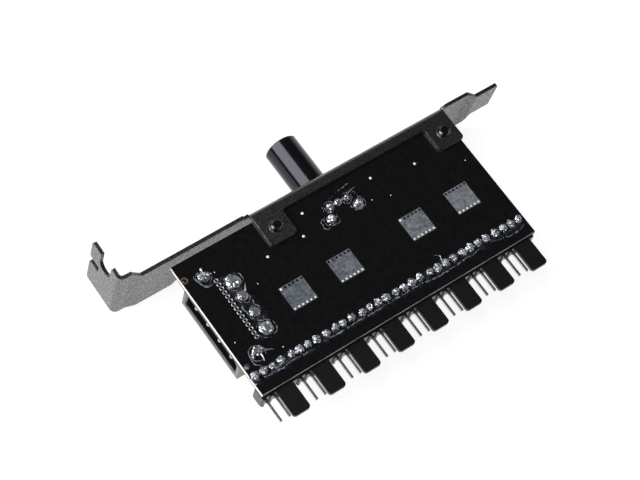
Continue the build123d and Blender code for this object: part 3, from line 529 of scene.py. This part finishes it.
# Speed control. A rotary potentiometer: moulded base, die-cast bushing through the plate, tinned
# rear cover with two lugs, three terminals and a turned shaft.
# Die-cast zinc: mid-grey bare metal with a mottled skin from the mould.
cast, tree, where = start_finish("bare_die_cast_zinc")
swirl = add(tree, "ShaderNodeTexNoise", {"Vector": where, "Scale": 1 / (0.8 * MM), "Detail": 4.0}).outputs["Fac"]
gloss = add(tree, "ShaderNodeMapRange", {"Value": swirl, "To Min": 0.3, "To Max": 0.5})
colour = add(tree, "ShaderNodeValToRGB", {"Fac": swirl}, ((0.0, "#7f8184"), (1.0, "#a9abae"))).outputs["Color"]
shader = add(tree, "ShaderNodeBsdfPrincipled", {
    "Base Color": colour, "Roughness": gloss.outputs["Result"], "Metallic": 1.0})
add(tree, "ShaderNodeOutputMaterial", {"Surface": shader.outputs["BSDF"]})
dress(["pot_bushing", "pot_shaft"], cast)
dress(["pot_base"], epoxy)
dress(["pot_cover", "pot_terminals"], tin)


# Solder joints. Hand-soldered tin on every tail: crumpled lumps along the fan row, broad pools at
# the power inlet and ovals at the control's lugs. Each group is one skin over balls of solder.
FAN_ROW_Y = -43.0

skins, given = start_tree("solder_skins", voxel="Float", crumple="Float", lump="Float", rest="Float", finish="Material")
reach = add(skins, "GeometryNodeInputNamedAttribute", {"Name": "reach"}).outputs["Attribute"]
drops = add(skins, "GeometryNodeMeshToPoints", {"Mesh": given["Geometry"], "Radius": reach}).outputs[0]
mass = add(skins, "GeometryNodePointsToVolume", {"Points": drops, "Voxel Size": given["voxel"], "Radius": reach},
           resolution_mode="VOXEL_SIZE").outputs[0]
skin = add(skins, "GeometryNodeVolumeToMesh", {"Volume": mass, "Threshold": 0.1}, resolution_mode="GRID").outputs[0]
place = add(skins, "GeometryNodeInputPosition").outputs[0]
soft = add(skins, "GeometryNodeBlurAttribute", {"Value": place, "Iterations": 4}, data_type="FLOAT_VECTOR").outputs[0]
skin = add(skins, "GeometryNodeSetPosition", {"Geometry": skin, "Position": soft}).outputs[0]
count = add(skins, "ShaderNodeMath", {0: 1.0, 1: given["lump"]}, operation="DIVIDE").outputs[0]
rough = add(skins, "ShaderNodeTexNoise", {"Vector": place, "Scale": count, "Detail": 1.5}).outputs["Fac"]
swing = add(skins, "ShaderNodeMapRange", {
    "Value": rough, "From Min": 0.3, "From Max": 0.7, "To Min": -1.0, "To Max": 1.0}).outputs[0]
swing = add(skins, "ShaderNodeMath", {0: swing, 1: given["crumple"]}, operation="MULTIPLY").outputs[0]
normal = add(skins, "GeometryNodeInputNormal").outputs[0]
shift = add(skins, "ShaderNodeVectorMath", {0: normal, "Scale": swing}, operation="SCALE").outputs[0]
skin = add(skins, "GeometryNodeSetPosition", {"Geometry": skin, "Offset": shift}).outputs[0]
axes = add(skins, "ShaderNodeSeparateXYZ", {0: place}).outputs
held = add(skins, "ShaderNodeMath", {0: axes["Z"], 1: given["rest"]}, operation="MAXIMUM").outputs[0]
held = add(skins, "ShaderNodeCombineXYZ", {"X": axes["X"], "Y": axes["Y"], "Z": held}).outputs[0]
skin = add(skins, "GeometryNodeSetPosition", {"Geometry": skin, "Position": held}).outputs[0]
close_tree(skins, skin, given["finish"])


def pool(x, y, across, high):
    """A ball, mostly under the board, whose cap above it is so wide and high, in mm."""
    radius = (across * across / 4 + high * high) / (2 * high)
    return (x, y, SOLDER_SIDE + high - radius, radius)


def ball(x, y, high, radius):
    """A ball whose middle is so high above the board."""
    return (x, y, SOLDER_SIDE + high, radius)


def solder_up(name, node, balls, crumple, lump):
    """Skins a group of balls and puts it in place of the plain CAD joints."""
    piece = grow(seeds(name, [one[:3] for one in balls], reach=[one[3] for one in balls]), skins, "solder", voxel=0.1 * MM,
                 crumple=crumple * MM, lump=lump * MM, rest=(SOLDER_SIDE - 0.06) * MM, finish=solder)
    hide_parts(node)


chance = random.Random(11)
balls = []
for header in range(8):
    for pin in range(4):
        x = FIRST_PIN_X + header * HEADER_PITCH + pin * PIN_PITCH
        y = FAN_ROW_Y
        balls.append(pool(x + chance.uniform(-0.15, 0.15), y + chance.uniform(-0.1, 0.15), chance.uniform(1.8, 2.3), 0.7))
        balls.append(ball(x, y, 0.6, 0.62))
        for _ in range(3):
            turn = chance.uniform(0, 2 * math.pi)
            balls.append(ball(x + 0.65 * math.cos(turn), y + 0.65 * math.sin(turn), chance.uniform(0.1, 0.6),
                              chance.uniform(0.32, 0.45)))
solder_up("fan_row_solder", "fan_solder", balls, 0.28, 0.55)


def collar(x, y, reach, high, radius, number=6):
    """Balls of solder that climb a tail all round it and leave its end bare."""
    turns = [2 * math.pi * i / number for i in range(number)]
    return [ball(x + reach * math.cos(turn), y + reach * math.sin(turn), high + chance.uniform(-0.12, 0.12), radius)
            for turn in turns]


balls = [
    pool(24.0, -19.3, 3.9, 0.7), *collar(23.6, -18.78, 0.62, 0.8, 0.55), ball(24.9, -20.3, 0.3, 0.75),
    ball(23.0, -18.2, 0.3, 0.7),
    pool(23.85, -23.75, 2.7, 0.6), *collar(23.6, -23.86, 0.6, 0.7, 0.45), ball(24.3, -23.2, 0.3, 0.6),
    pool(23.9, -28.8, 2.8, 0.6), *collar(23.6, -28.94, 0.6, 0.75, 0.45), ball(24.4, -28.6, 0.3, 0.6),
    pool(23.85, -33.95, 3.7, 0.7), *collar(23.6, -34.02, 0.62, 0.8, 0.55), ball(24.8, -33.2, 0.3, 0.7),
    ball(24.3, -35.2, 0.2, 0.6),
    pool(18.4, -14.5, 3.0, 0.4), *[ball(18.45 + 1.25 * math.cos(i), -14.5 + 0.7 * math.sin(i), 0.35, 0.45) for i in range(7)],
    ball(18.9, -13.5, 0.15, 0.36), ball(18.95, -12.9, 0.2, 0.36), ball(19.0, -12.5, 0.2, 0.4),
    pool(18.5, -38.1, 2.2, 0.3), ball(16.6, -38.9, 0.2, 0.45), ball(16.9, -38.2, 0.35, 0.6), ball(17.5, -37.6, 0.5, 0.7),
    ball(18.3, -37.2, 0.5, 0.75), ball(19.1, -37.4, 0.45, 0.65), ball(19.6, -38.0, 0.35, 0.5), ball(18.5, -38.3, 0.4, 0.45),
]
solder_up("inlet_row_solder", "inlet_solder", balls, 0.1, 1.0)

balls = [
    pool(57.1, -14.55, 2.0, 0.7), ball(57.15, -14.6, 0.62, 0.56), ball(56.6, -14.1, 0.3, 0.4),
    pool(59.7, -14.65, 2.1, 0.7), ball(59.65, -14.6, 0.62, 0.56), ball(59.9, -15.1, 0.4, 0.45),
    pool(62.2, -14.75, 2.0, 0.7), ball(62.15, -14.6, 0.62, 0.56), ball(62.4, -15.2, 0.4, 0.42),
    ball(58.4, -14.7, 0.1, 0.35), ball(60.9, -14.6, 0.1, 0.35),
    ball(56.9, -15.5, 0.15, 0.4), ball(56.4, -16.2, 0.1, 0.35),
    pool(55.4, -17.75, 2.8, 0.8), ball(54.85, -17.5, 0.5, 0.6), ball(55.75, -17.9, 0.5, 0.62), ball(55.4, -18.4, 0.4, 0.6),
    pool(64.05, -17.6, 2.9, 0.8), ball(63.5, -17.6, 0.5, 0.62), ball(64.5, -17.8, 0.5, 0.6), ball(64.2, -17.0, 0.4, 0.6),
]
solder_up("control_solder", "pot_solder", balls, 0.08, 0.9)
tips = [(54.95, -17.45, SOLDER_SIDE + 0.8), (55.45, -17.75, SOLDER_SIDE + 0.85), (63.65, -17.55, SOLDER_SIDE + 0.85)]
# The lug tips wear the near-white solder: a painted highlight.
grow(seeds("lug_tips", tips, wide=[0.55, 0.5, 0.5], high=[0.42, 0.4, 0.4]), beads, "solder", finish=painted_white_solder)


# Flux and solder threads. Clear flux dried in threads, beaded edges and a long ragged line beside the
# fan row, and a few hairs of solder pulled up by the iron.
threads, given = start_tree("drawn_threads", step="Float", wander="Float", uneven="Float", finish="Material")
line = add(threads, "GeometryNodeMeshToCurve", {"Mesh": given["Geometry"]}).outputs[0]
line = add(threads, "GeometryNodeCurveSplineType", {"Curve": line}, spline_type="CATMULL_ROM").outputs[0]
line = add(threads, "GeometryNodeResampleCurve", {"Curve": line, "Length": given["step"]}, mode="LENGTH").outputs[0]
place = add(threads, "GeometryNodeInputPosition").outputs[0]
sway = add(threads, "ShaderNodeTexNoise", {"Vector": place, "Scale": 1 / (1.3 * MM), "Detail": 2.0}).outputs["Color"]
sway = add(threads, "ShaderNodeVectorMath", {0: sway, 1: (0.5, 0.5, 0.5)}, operation="SUBTRACT").outputs[0]
sway = add(threads, "ShaderNodeVectorMath", {0: sway, 1: (1.0, 1.0, 0.0)}, operation="MULTIPLY").outputs[0]
sway = add(threads, "ShaderNodeVectorMath", {0: sway, "Scale": given["wander"]}, operation="SCALE").outputs[0]
line = add(threads, "GeometryNodeSetPosition", {"Geometry": line, "Offset": sway}).outputs[0]
thick = add(threads, "GeometryNodeInputNamedAttribute", {"Name": "thick"}).outputs["Attribute"]
patch = add(threads, "ShaderNodeTexNoise", {"Vector": place, "Scale": 1 / (0.9 * MM), "Detail": 2.0}).outputs["Fac"]
patch = add(threads, "ShaderNodeMapRange", {
    "Value": patch, "From Min": 0.38, "From Max": 0.62, "To Min": -0.75, "To Max": 0.5}).outputs[0]
patch = add(threads, "ShaderNodeMath", {0: patch, 1: given["uneven"], 2: 1.0}, operation="MULTIPLY_ADD").outputs[0]
thick = add(threads, "ShaderNodeMath", {0: thick, 1: patch}, operation="MULTIPLY").outputs[0]
bead = add(threads, "GeometryNodeCurvePrimitiveCircle", {"Resolution": 8, "Radius": 1.0}).outputs[0]
tube = add(threads, "GeometryNodeCurveToMesh", {
    "Curve": line, "Profile Curve": bead, "Scale": thick, "Fill Caps": True}).outputs[0]
close_tree(threads, tube, given["finish"])


def draw(name, lines, wander, uneven, finish):
    """Threads along lines of points: across and along the board, height above it and thickness, in mm."""
    points, links, thick = [], [], []
    for line in lines:
        links += [(len(points) + i, len(points) + i + 1) for i in range(len(line) - 1)]
        points += [(x, y, SOLDER_SIDE + high) for x, y, high, _ in line]
        thick += [width for _, _, _, width in line]
    grow(seeds(name, points, links, thick=thick), threads, "solder", step=0.15 * MM, wander=wander * MM,
         uneven=uneven, finish=finish)


def lying(width, *points):
    """A thread that lies on the board, half sunk, and thins to both ends."""
    last = len(points) - 1
    return [(x, y, -0.3 * width, width * (0.45 if i in (0, last) else 1.0)) for i, (x, y) in enumerate(points)]


# Dried flux: clear resin over the black mask, glassy and a little milky. Its pale grey colour is also a painted
# highlight, standing for the light that its thin rims catch.
flux, tree, where = start_finish("dried_flux_painted_highlight")
milk_and_highlight = add(tree, "ShaderNodeTexNoise", {"Vector": where, "Scale": 1 / (1.1 * MM), "Detail": 3.0}).outputs["Fac"]
gloss = add(tree, "ShaderNodeMapRange", {"Value": milk_and_highlight, "To Min": 0.14, "To Max": 0.3})
# Painted highlight: the grey base colour stands for light on the rims of the threads.
colour = add(tree, "ShaderNodeValToRGB", {"Fac": milk_and_highlight}, ((0.35, "#3a3c44"), (0.7, "#858994"))).outputs["Color"]
shader = add(tree, "ShaderNodeBsdfPrincipled", {
    "Base Color": colour, "Roughness": gloss.outputs["Result"], "IOR": 1.52})
add(tree, "ShaderNodeOutputMaterial", {"Surface": shader.outputs["BSDF"]})


def rimmed(x, y, radius):
    """The thin edge of a film of flux round a joint, open at one place."""
    start = chance.uniform(0, 2 * math.pi)
    around = [start + 2 * math.pi * i / 11 for i in range(11)]
    return lying(0.11, *[
        (x + radius * chance.uniform(0.85, 1.1) * math.cos(turn), y + radius * chance.uniform(0.85, 1.1) * math.sin(turn))
        for turn in around])


draw("flux_threads", [
    rimmed(24.0, -19.4, 2.5), rimmed(23.8, -23.8, 1.9), rimmed(23.7, -28.9, 1.9), rimmed(23.8, -34.0, 2.5),
    rimmed(18.4, -14.7, 2.0), rimmed(18.0, -38.4, 2.2), rimmed(55.4, -17.8, 2.0), rimmed(64.0, -17.6, 2.0),
    rimmed(57.1, -14.6, 1.5), rimmed(62.2, -14.7, 1.6),
    lying(0.16, (16.7, -12.1), (16.3, -14.6), (16.9, -15.8), (17.5, -17.1), (18.7, -17.5), (19.7, -17.2)),
    lying(0.14, (22.49, -22.89), (22.47, -24.73), (21.89, -27.02), (22.30, -28.59)),
    lying(0.14, (24.91, -25.17), (25.27, -26.45), (24.93, -27.30)),
    lying(0.14, (22.95, -28.72), (22.80, -30.73), (24.67, -31.62), (24.74, -30.09)),
    lying(0.12, (26.42, -31.25), (26.24, -29.90)),
    lying(0.12, (26.62, -34.19), (26.3, -33.6)),
    lying(0.16, (16.13, -37.53), (15.77, -39.12), (15.96, -40.26), (16.85, -41.45), (18.28, -42.22)),
    lying(0.16, (64.02, -14.24), (62.84, -15.96), (62.57, -17.61), (63.02, -18.94), (64.17, -19.32), (65.18, -19.02)),
    lying(0.13, (64.2, -14.0), (64.98, -14.20), (65.06, -15.77), (64.9, -16.4)),
    lying(0.15, (60.52, -11.99), (62.05, -11.84), (64.93, -11.43), (65.25, -11.77)),
    lying(0.12, (58.14, -12.54), (59.39, -12.38)),
    lying(0.12, (55.68, -13.78), (55.08, -14.02), (55.07, -15.22)),
    lying(0.14, (53.72, -16.51), (52.48, -17.25), (52.56, -19.68), (54.3, -19.4)),
    lying(0.12, (57.28, -17.44), (57.07, -18.52)),
    lying(0.2, (13.77, -44.23), (15.62, -44.32), (17.66, -44.65), (18.73, -44.73), (20.36, -44.68), (21.27, -45.01),
          (22.21, -44.64), (23.14, -44.62), (25.05, -44.51), (27.24, -44.67), (29.17, -44.55), (31.31, -44.8)),
    lying(0.34, (18.2, -44.3), (20.39, -43.99), (22.47, -43.8), (24.1, -43.91)),
    lying(0.17, (33.84, -44.4), (38.84, -44.6), (45.17, -44.45), (49.25, -44.6), (54.52, -44.5), (59.83, -44.54), (64.29, -44.46),
          (69.25, -45.22), (73.78, -45.14), (79.03, -44.9), (82.9, -44.66)),
    lying(0.17, (87.34, -44.46), (91.62, -45.59), (95.61, -45.67), (97.54, -45.08)),
    lying(0.12, (92.56, -44.41), (95.37, -45.24)),
], 0.9, 1.0, flux)

draw("solder_hairs", [
    [(24.6, -23.5, 1.2, 0.34), (25.0, -22.9, 1.4, 0.2), (25.4, -22.2, 1.5, 0.12), (25.7, -21.7, 1.6, 0.05)],
    [(19.4, -38.6, 0.3, 0.32), (20.4, -38.9, 0.4, 0.26), (21.3, -39.3, 0.5, 0.16), (22.1, -39.8, 0.5, 0.06)],
    [(18.7, -39.0, 0.2, 0.25), (18.7, -39.8, 0.25, 0.18), (18.4, -41.0, 0.2, 0.06)],
    [(62.7, -14.3, 0.5, 0.3), (63.6, -13.8, 0.5, 0.24), (64.7, -13.6, 0.5, 0.16), (65.8, -13.5, 0.6, 0.05)],
    [(72.6, -42.6, 0.5, 0.16), (72.5, -41.9, 0.5, 0.12), (72.8, -40.8, 0.5, 0.11), (71.7, -40.1, 0.4, 0.07)],
], 0.0, 0.0, solder)


# Bracket. One piece of 1 mm steel sheet, cut out, folded at the ear and the flange and stepped at
# both ends. It is powder coated after folding, and its two tabs are tapped for the board screws.
# Texture powder coat on steel: grains melt into a near-black skin, which is dark from above and
# turns grey and sparkling where it is seen along the sheet. The real grains are near 0.3 mm, and
# are drawn at 0.45 mm so that they show.
powder_coat, tree, where = start_finish("black_texture_powder_coat")
grain = add(tree, "ShaderNodeTexNoise", {
    "Vector": where, "Scale": 1 / (0.45 * MM), "Detail": 2.0, "Roughness": 0.6}).outputs["Fac"]
sparkle = add(tree, "ShaderNodeMapRange", {"Value": grain, "From Min": 0.38, "From Max": 0.62, "To Min": 0.35, "To Max": 1.0})
gloss = add(tree, "ShaderNodeMapRange", {"Value": grain, "From Min": 0.38, "From Max": 0.62, "To Min": 0.46, "To Max": 0.16})
relief = add(tree, "ShaderNodeBump", {"Height": grain, "Strength": 0.8, "Distance": 0.12 * MM})
colour = add(tree, "ShaderNodeValToRGB", {"Fac": grain}, ((0.35, "#0b0c0e"), (0.68, "#16171a"))).outputs["Color"]
shader = add(tree, "ShaderNodeBsdfPrincipled", {
    "Base Color": colour, "Roughness": gloss.outputs["Result"], "Normal": relief.outputs["Normal"], "IOR": 1.9,
    "Specular IOR Level": sparkle.outputs["Result"], "Sheen Weight": 0.45, "Sheen Roughness": 0.25})
add(tree, "ShaderNodeOutputMaterial", {"Surface": shader.outputs["BSDF"]})
dress(["bracket"], powder_coat)
ease_edges(["bracket"], 0.2)


# Board screws. Two machine screws, put in from the component side, whose thread ends stand out of the
# tapped tabs. The thread is rolled, and the steel is blackened.
SCREWS = [(41.65, -12.6), (95.65, -12.6)]
THREAD_PITCH, THREAD_RADIUS = 0.5, 1.42
TAB_TOP, THREAD_TOP = 1.15, 2.1

turns, given = start_tree("screw_threads", rotations="Float", radius="Float", rise="Float", ridge="Float", finish="Material")
coil = add(turns, "GeometryNodeCurveSpiral", {"Resolution": 32, "Rotations": given["rotations"], "Start Radius": given["radius"],
                                              "End Radius": given["radius"], "Height": given["rise"]}).outputs[0]
vee = add(turns, "GeometryNodeCurvePrimitiveCircle", {"Resolution": 4, "Radius": given["ridge"]}).outputs[0]
thread = add(turns, "GeometryNodeCurveToMesh", {"Curve": coil, "Profile Curve": vee, "Fill Caps": True}).outputs[0]
placed = add(turns, "GeometryNodeInstanceOnPoints", {"Points": given["Geometry"], "Instance": thread}).outputs[0]
close_tree(turns, placed, given["finish"])

# Black oxide on steel: thin and glossy with oil, so that the metal shines through in places.
oxide, tree, where = start_finish("black_oxide_steel")
bloom = add(tree, "ShaderNodeTexNoise", {"Vector": where, "Scale": 1 / (0.7 * MM), "Detail": 3.0}).outputs["Fac"]
colour = add(tree, "ShaderNodeValToRGB", {"Fac": bloom}, ((0.3, "#3c3d42"), (0.7, "#6b6d73"))).outputs["Color"]
shader = add(tree, "ShaderNodeBsdfPrincipled", {"Base Color": colour, "Roughness": 0.24, "Metallic": 1.0})
add(tree, "ShaderNodeOutputMaterial", {"Surface": shader.outputs["BSDF"]})
dress(["board_screws"], oxide)
grow(seeds("screw_thread_ends", [(x, y, TAB_TOP) for x, y in SCREWS]), turns, "black_screw", radius=THREAD_RADIUS * MM,
     rotations=(THREAD_TOP - TAB_TOP) / THREAD_PITCH, rise=(THREAD_TOP - TAB_TOP) * MM, ridge=0.16 * MM, finish=oxide)
grow(seeds("tapped_collars", [(x, y, TAB_TOP) for x, y in SCREWS]), rims, "bracket_coat", hole_radius=1.55 * MM,
     rim_width=0.5 * MM, rim_rise=0.9, sleeve=0.2 * MM, finish=powder_coat)


# Knob. A plain round cap, turned from black plastic and pushed on the shaft's flat.
# Polished plastic: deep black with fine turning marks round it, which break up the reflections.
polished, tree, where = start_finish("polished_black_plastic")
lathe = add(tree, "ShaderNodeMapping", {"Vector": where, "Scale": (1 / (4 * MM), 1 / (0.25 * MM), 1 / (4 * MM))})
rings = add(tree, "ShaderNodeTexNoise", {"Vector": lathe.outputs["Vector"], "Scale": 1.0, "Detail": 2.0}).outputs["Fac"]
gloss = add(tree, "ShaderNodeMapRange", {"Value": rings, "To Min": 0.1, "To Max": 0.2})
relief = add(tree, "ShaderNodeBump", {"Height": rings, "Strength": 0.2, "Distance": 0.01 * MM})
colour = add(tree, "ShaderNodeValToRGB", {"Fac": rings}, ((0.0, "#0a0a0c"), (1.0, "#121214"))).outputs["Color"]
shader = add(tree, "ShaderNodeBsdfPrincipled", {
    "Base Color": colour, "Roughness": gloss.outputs["Result"], "Normal": relief.outputs["Normal"], "IOR": 1.46,
    "Specular Tint": linear("#eef0ff")})
add(tree, "ShaderNodeOutputMaterial", {"Surface": shader.outputs["BSDF"]})
dress(["knob"], polished)


# Stage. A pale floor under the part, white where the camera, a reflection or a clear piece looks
# at it, and open from below so that the under side can be seen.
FLOOR_DROP = 0.2
lowest = min(corner[2] for corner in cad_box)
floor_mesh = bpy.data.meshes.new("floor")
floor_mesh.from_pydata([(x, y, lowest - FLOOR_DROP * MM) for x, y in ((-3, -3), (3, -3), (3, 3), (-3, 3))], [], [(0, 1, 2, 3)])
floor = bpy.data.objects.new("floor", floor_mesh)
bpy.context.scene.collection.objects.link(floor)
paper, tree, where = start_finish("white_paper_floor")
fibres = add(tree, "ShaderNodeTexNoise", {"Vector": where, "Scale": 1 / (3 * MM), "Detail": 2.0}).outputs["Fac"]
path = add(tree, "ShaderNodeLightPath")
seen = add(tree, "ShaderNodeMath", {0: path.outputs["Is Camera Ray"], 1: path.outputs["Is Glossy Ray"]}, operation="MAXIMUM")
seen = add(tree, "ShaderNodeMath", {0: seen.outputs[0], 1: path.outputs["Is Transmission Ray"]}, operation="MAXIMUM").outputs[0]
glow = add(tree, "ShaderNodeMath", {0: seen, 1: 0.88}, operation="MULTIPLY").outputs[0]
pale = add(tree, "ShaderNodeValToRGB", {"Fac": fibres}, ((0.0, "#dedede"), (1.0, "#e6e6e6"))).outputs["Color"]
tone = add(tree, "ShaderNodeMix", {"Factor": seen, 6: pale, 7: linear("#8c8c8c")}, data_type="RGBA").outputs[2]
matt = add(tree, "ShaderNodeBsdfDiffuse", {"Color": tone})
white = add(tree, "ShaderNodeEmission", {"Strength": glow})
both = add(tree, "ShaderNodeAddShader", {0: matt.outputs[0], 1: white.outputs[0]})
side = add(tree, "ShaderNodeNewGeometry")
clear = add(tree, "ShaderNodeBsdfTransparent")
sheet = add(tree, "ShaderNodeMixShader", {"Fac": side.outputs["Backfacing"], 1: both.outputs[0], 2: clear.outputs[0]})
add(tree, "ShaderNodeOutputMaterial", {"Surface": sheet.outputs[0]})
floor_mesh.materials.append(paper)


# Studio. One soft box on the left, in a dark room with a white backdrop round the foot of the walls
# on the other sides.
CENTRE = Vector((56, -28, 0)) * MM
world = bpy.data.worlds.new("studio")
bpy.context.scene.world = world
world.use_nodes = True
tree = world.node_tree
tree.nodes.clear()
path = add(tree, "ShaderNodeLightPath")
way = add(tree, "ShaderNodeSeparateXYZ", {"Vector": add(tree, "ShaderNodeTexCoord").outputs["Generated"]})
wall = add(tree, "ShaderNodeMapRange", {
    "Value": way.outputs["Z"], "From Min": 0.2, "From Max": 0.45, "To Min": 1.0, "To Max": 0.05})
right_side = add(tree, "ShaderNodeMapRange", {
    "Value": way.outputs["X"], "From Min": -0.6, "From Max": 0.0, "To Min": 0.05, "To Max": 1.0})
wall = add(tree, "ShaderNodeMath", {0: wall.outputs["Result"], 1: right_side.outputs["Result"]}, operation="MULTIPLY")
dim = add(tree, "ShaderNodeMath", {0: path.outputs["Is Glossy Ray"], 1: wall.outputs[0]}, operation="MULTIPLY")
spill = add(tree, "ShaderNodeMath", {0: path.outputs["Is Diffuse Ray"], 1: 0.25}, operation="MULTIPLY")
dim = add(tree, "ShaderNodeMath", {0: dim.outputs[0], 1: spill.outputs[0]}, operation="MAXIMUM")
level = add(tree, "ShaderNodeMath", {
    0: path.outputs["Is Camera Ray"], 1: path.outputs["Is Transmission Ray"]}, operation="MAXIMUM")
level = add(tree, "ShaderNodeMath", {0: level.outputs[0], 1: dim.outputs[0]}, operation="MAXIMUM")
sky = add(tree, "ShaderNodeBackground", {"Strength": level.outputs[0]})
add(tree, "ShaderNodeOutputWorld", {"Surface": sky.outputs[0]})

LAMP_WAY, LAMP_DISTANCE = Vector((-0.64, 0.28, 0.715)), 0.8
LAMP_WIDTH, LAMP_HEIGHT, LAMP_RADIANCE = 0.66, 0.86, 5.6
lamp = bpy.data.lights.new("soft_box", "AREA")
lamp.shape = "RECTANGLE"
lamp.size, lamp.size_y = LAMP_WIDTH, LAMP_HEIGHT
lamp.energy = LAMP_RADIANCE * math.pi * LAMP_WIDTH * LAMP_HEIGHT
holder = bpy.data.objects.new("soft_box", lamp)
bpy.context.scene.collection.objects.link(holder)
holder.location = CENTRE + LAMP_WAY.normalized() * LAMP_DISTANCE
holder.rotation_euler = LAMP_WAY.to_track_quat("Z", "Y").to_euler()

# Camera, where the photograph was taken from.
camera = bpy.data.cameras.new("camera")
camera.sensor_width = 36
camera.lens = 103.04
camera.clip_start = 0.01
view = bpy.data.objects.new("camera", camera)
bpy.context.scene.collection.objects.link(view)
right, down, ahead = (Vector(v) for v in (
    (0.80354, -0.57624, 0.14922), (-0.45882, -0.75931, -0.46145), (0.37921, 0.30233, -0.87453)))
turn = Matrix((right, -down, -ahead)).transposed().to_4x4()
view.matrix_world = Matrix.Translation(Vector((-125.35, -160.40, 403.03)) * MM) @ turn
bpy.context.scene.camera = view
bpy.context.scene.view_settings.view_transform = "Standard"
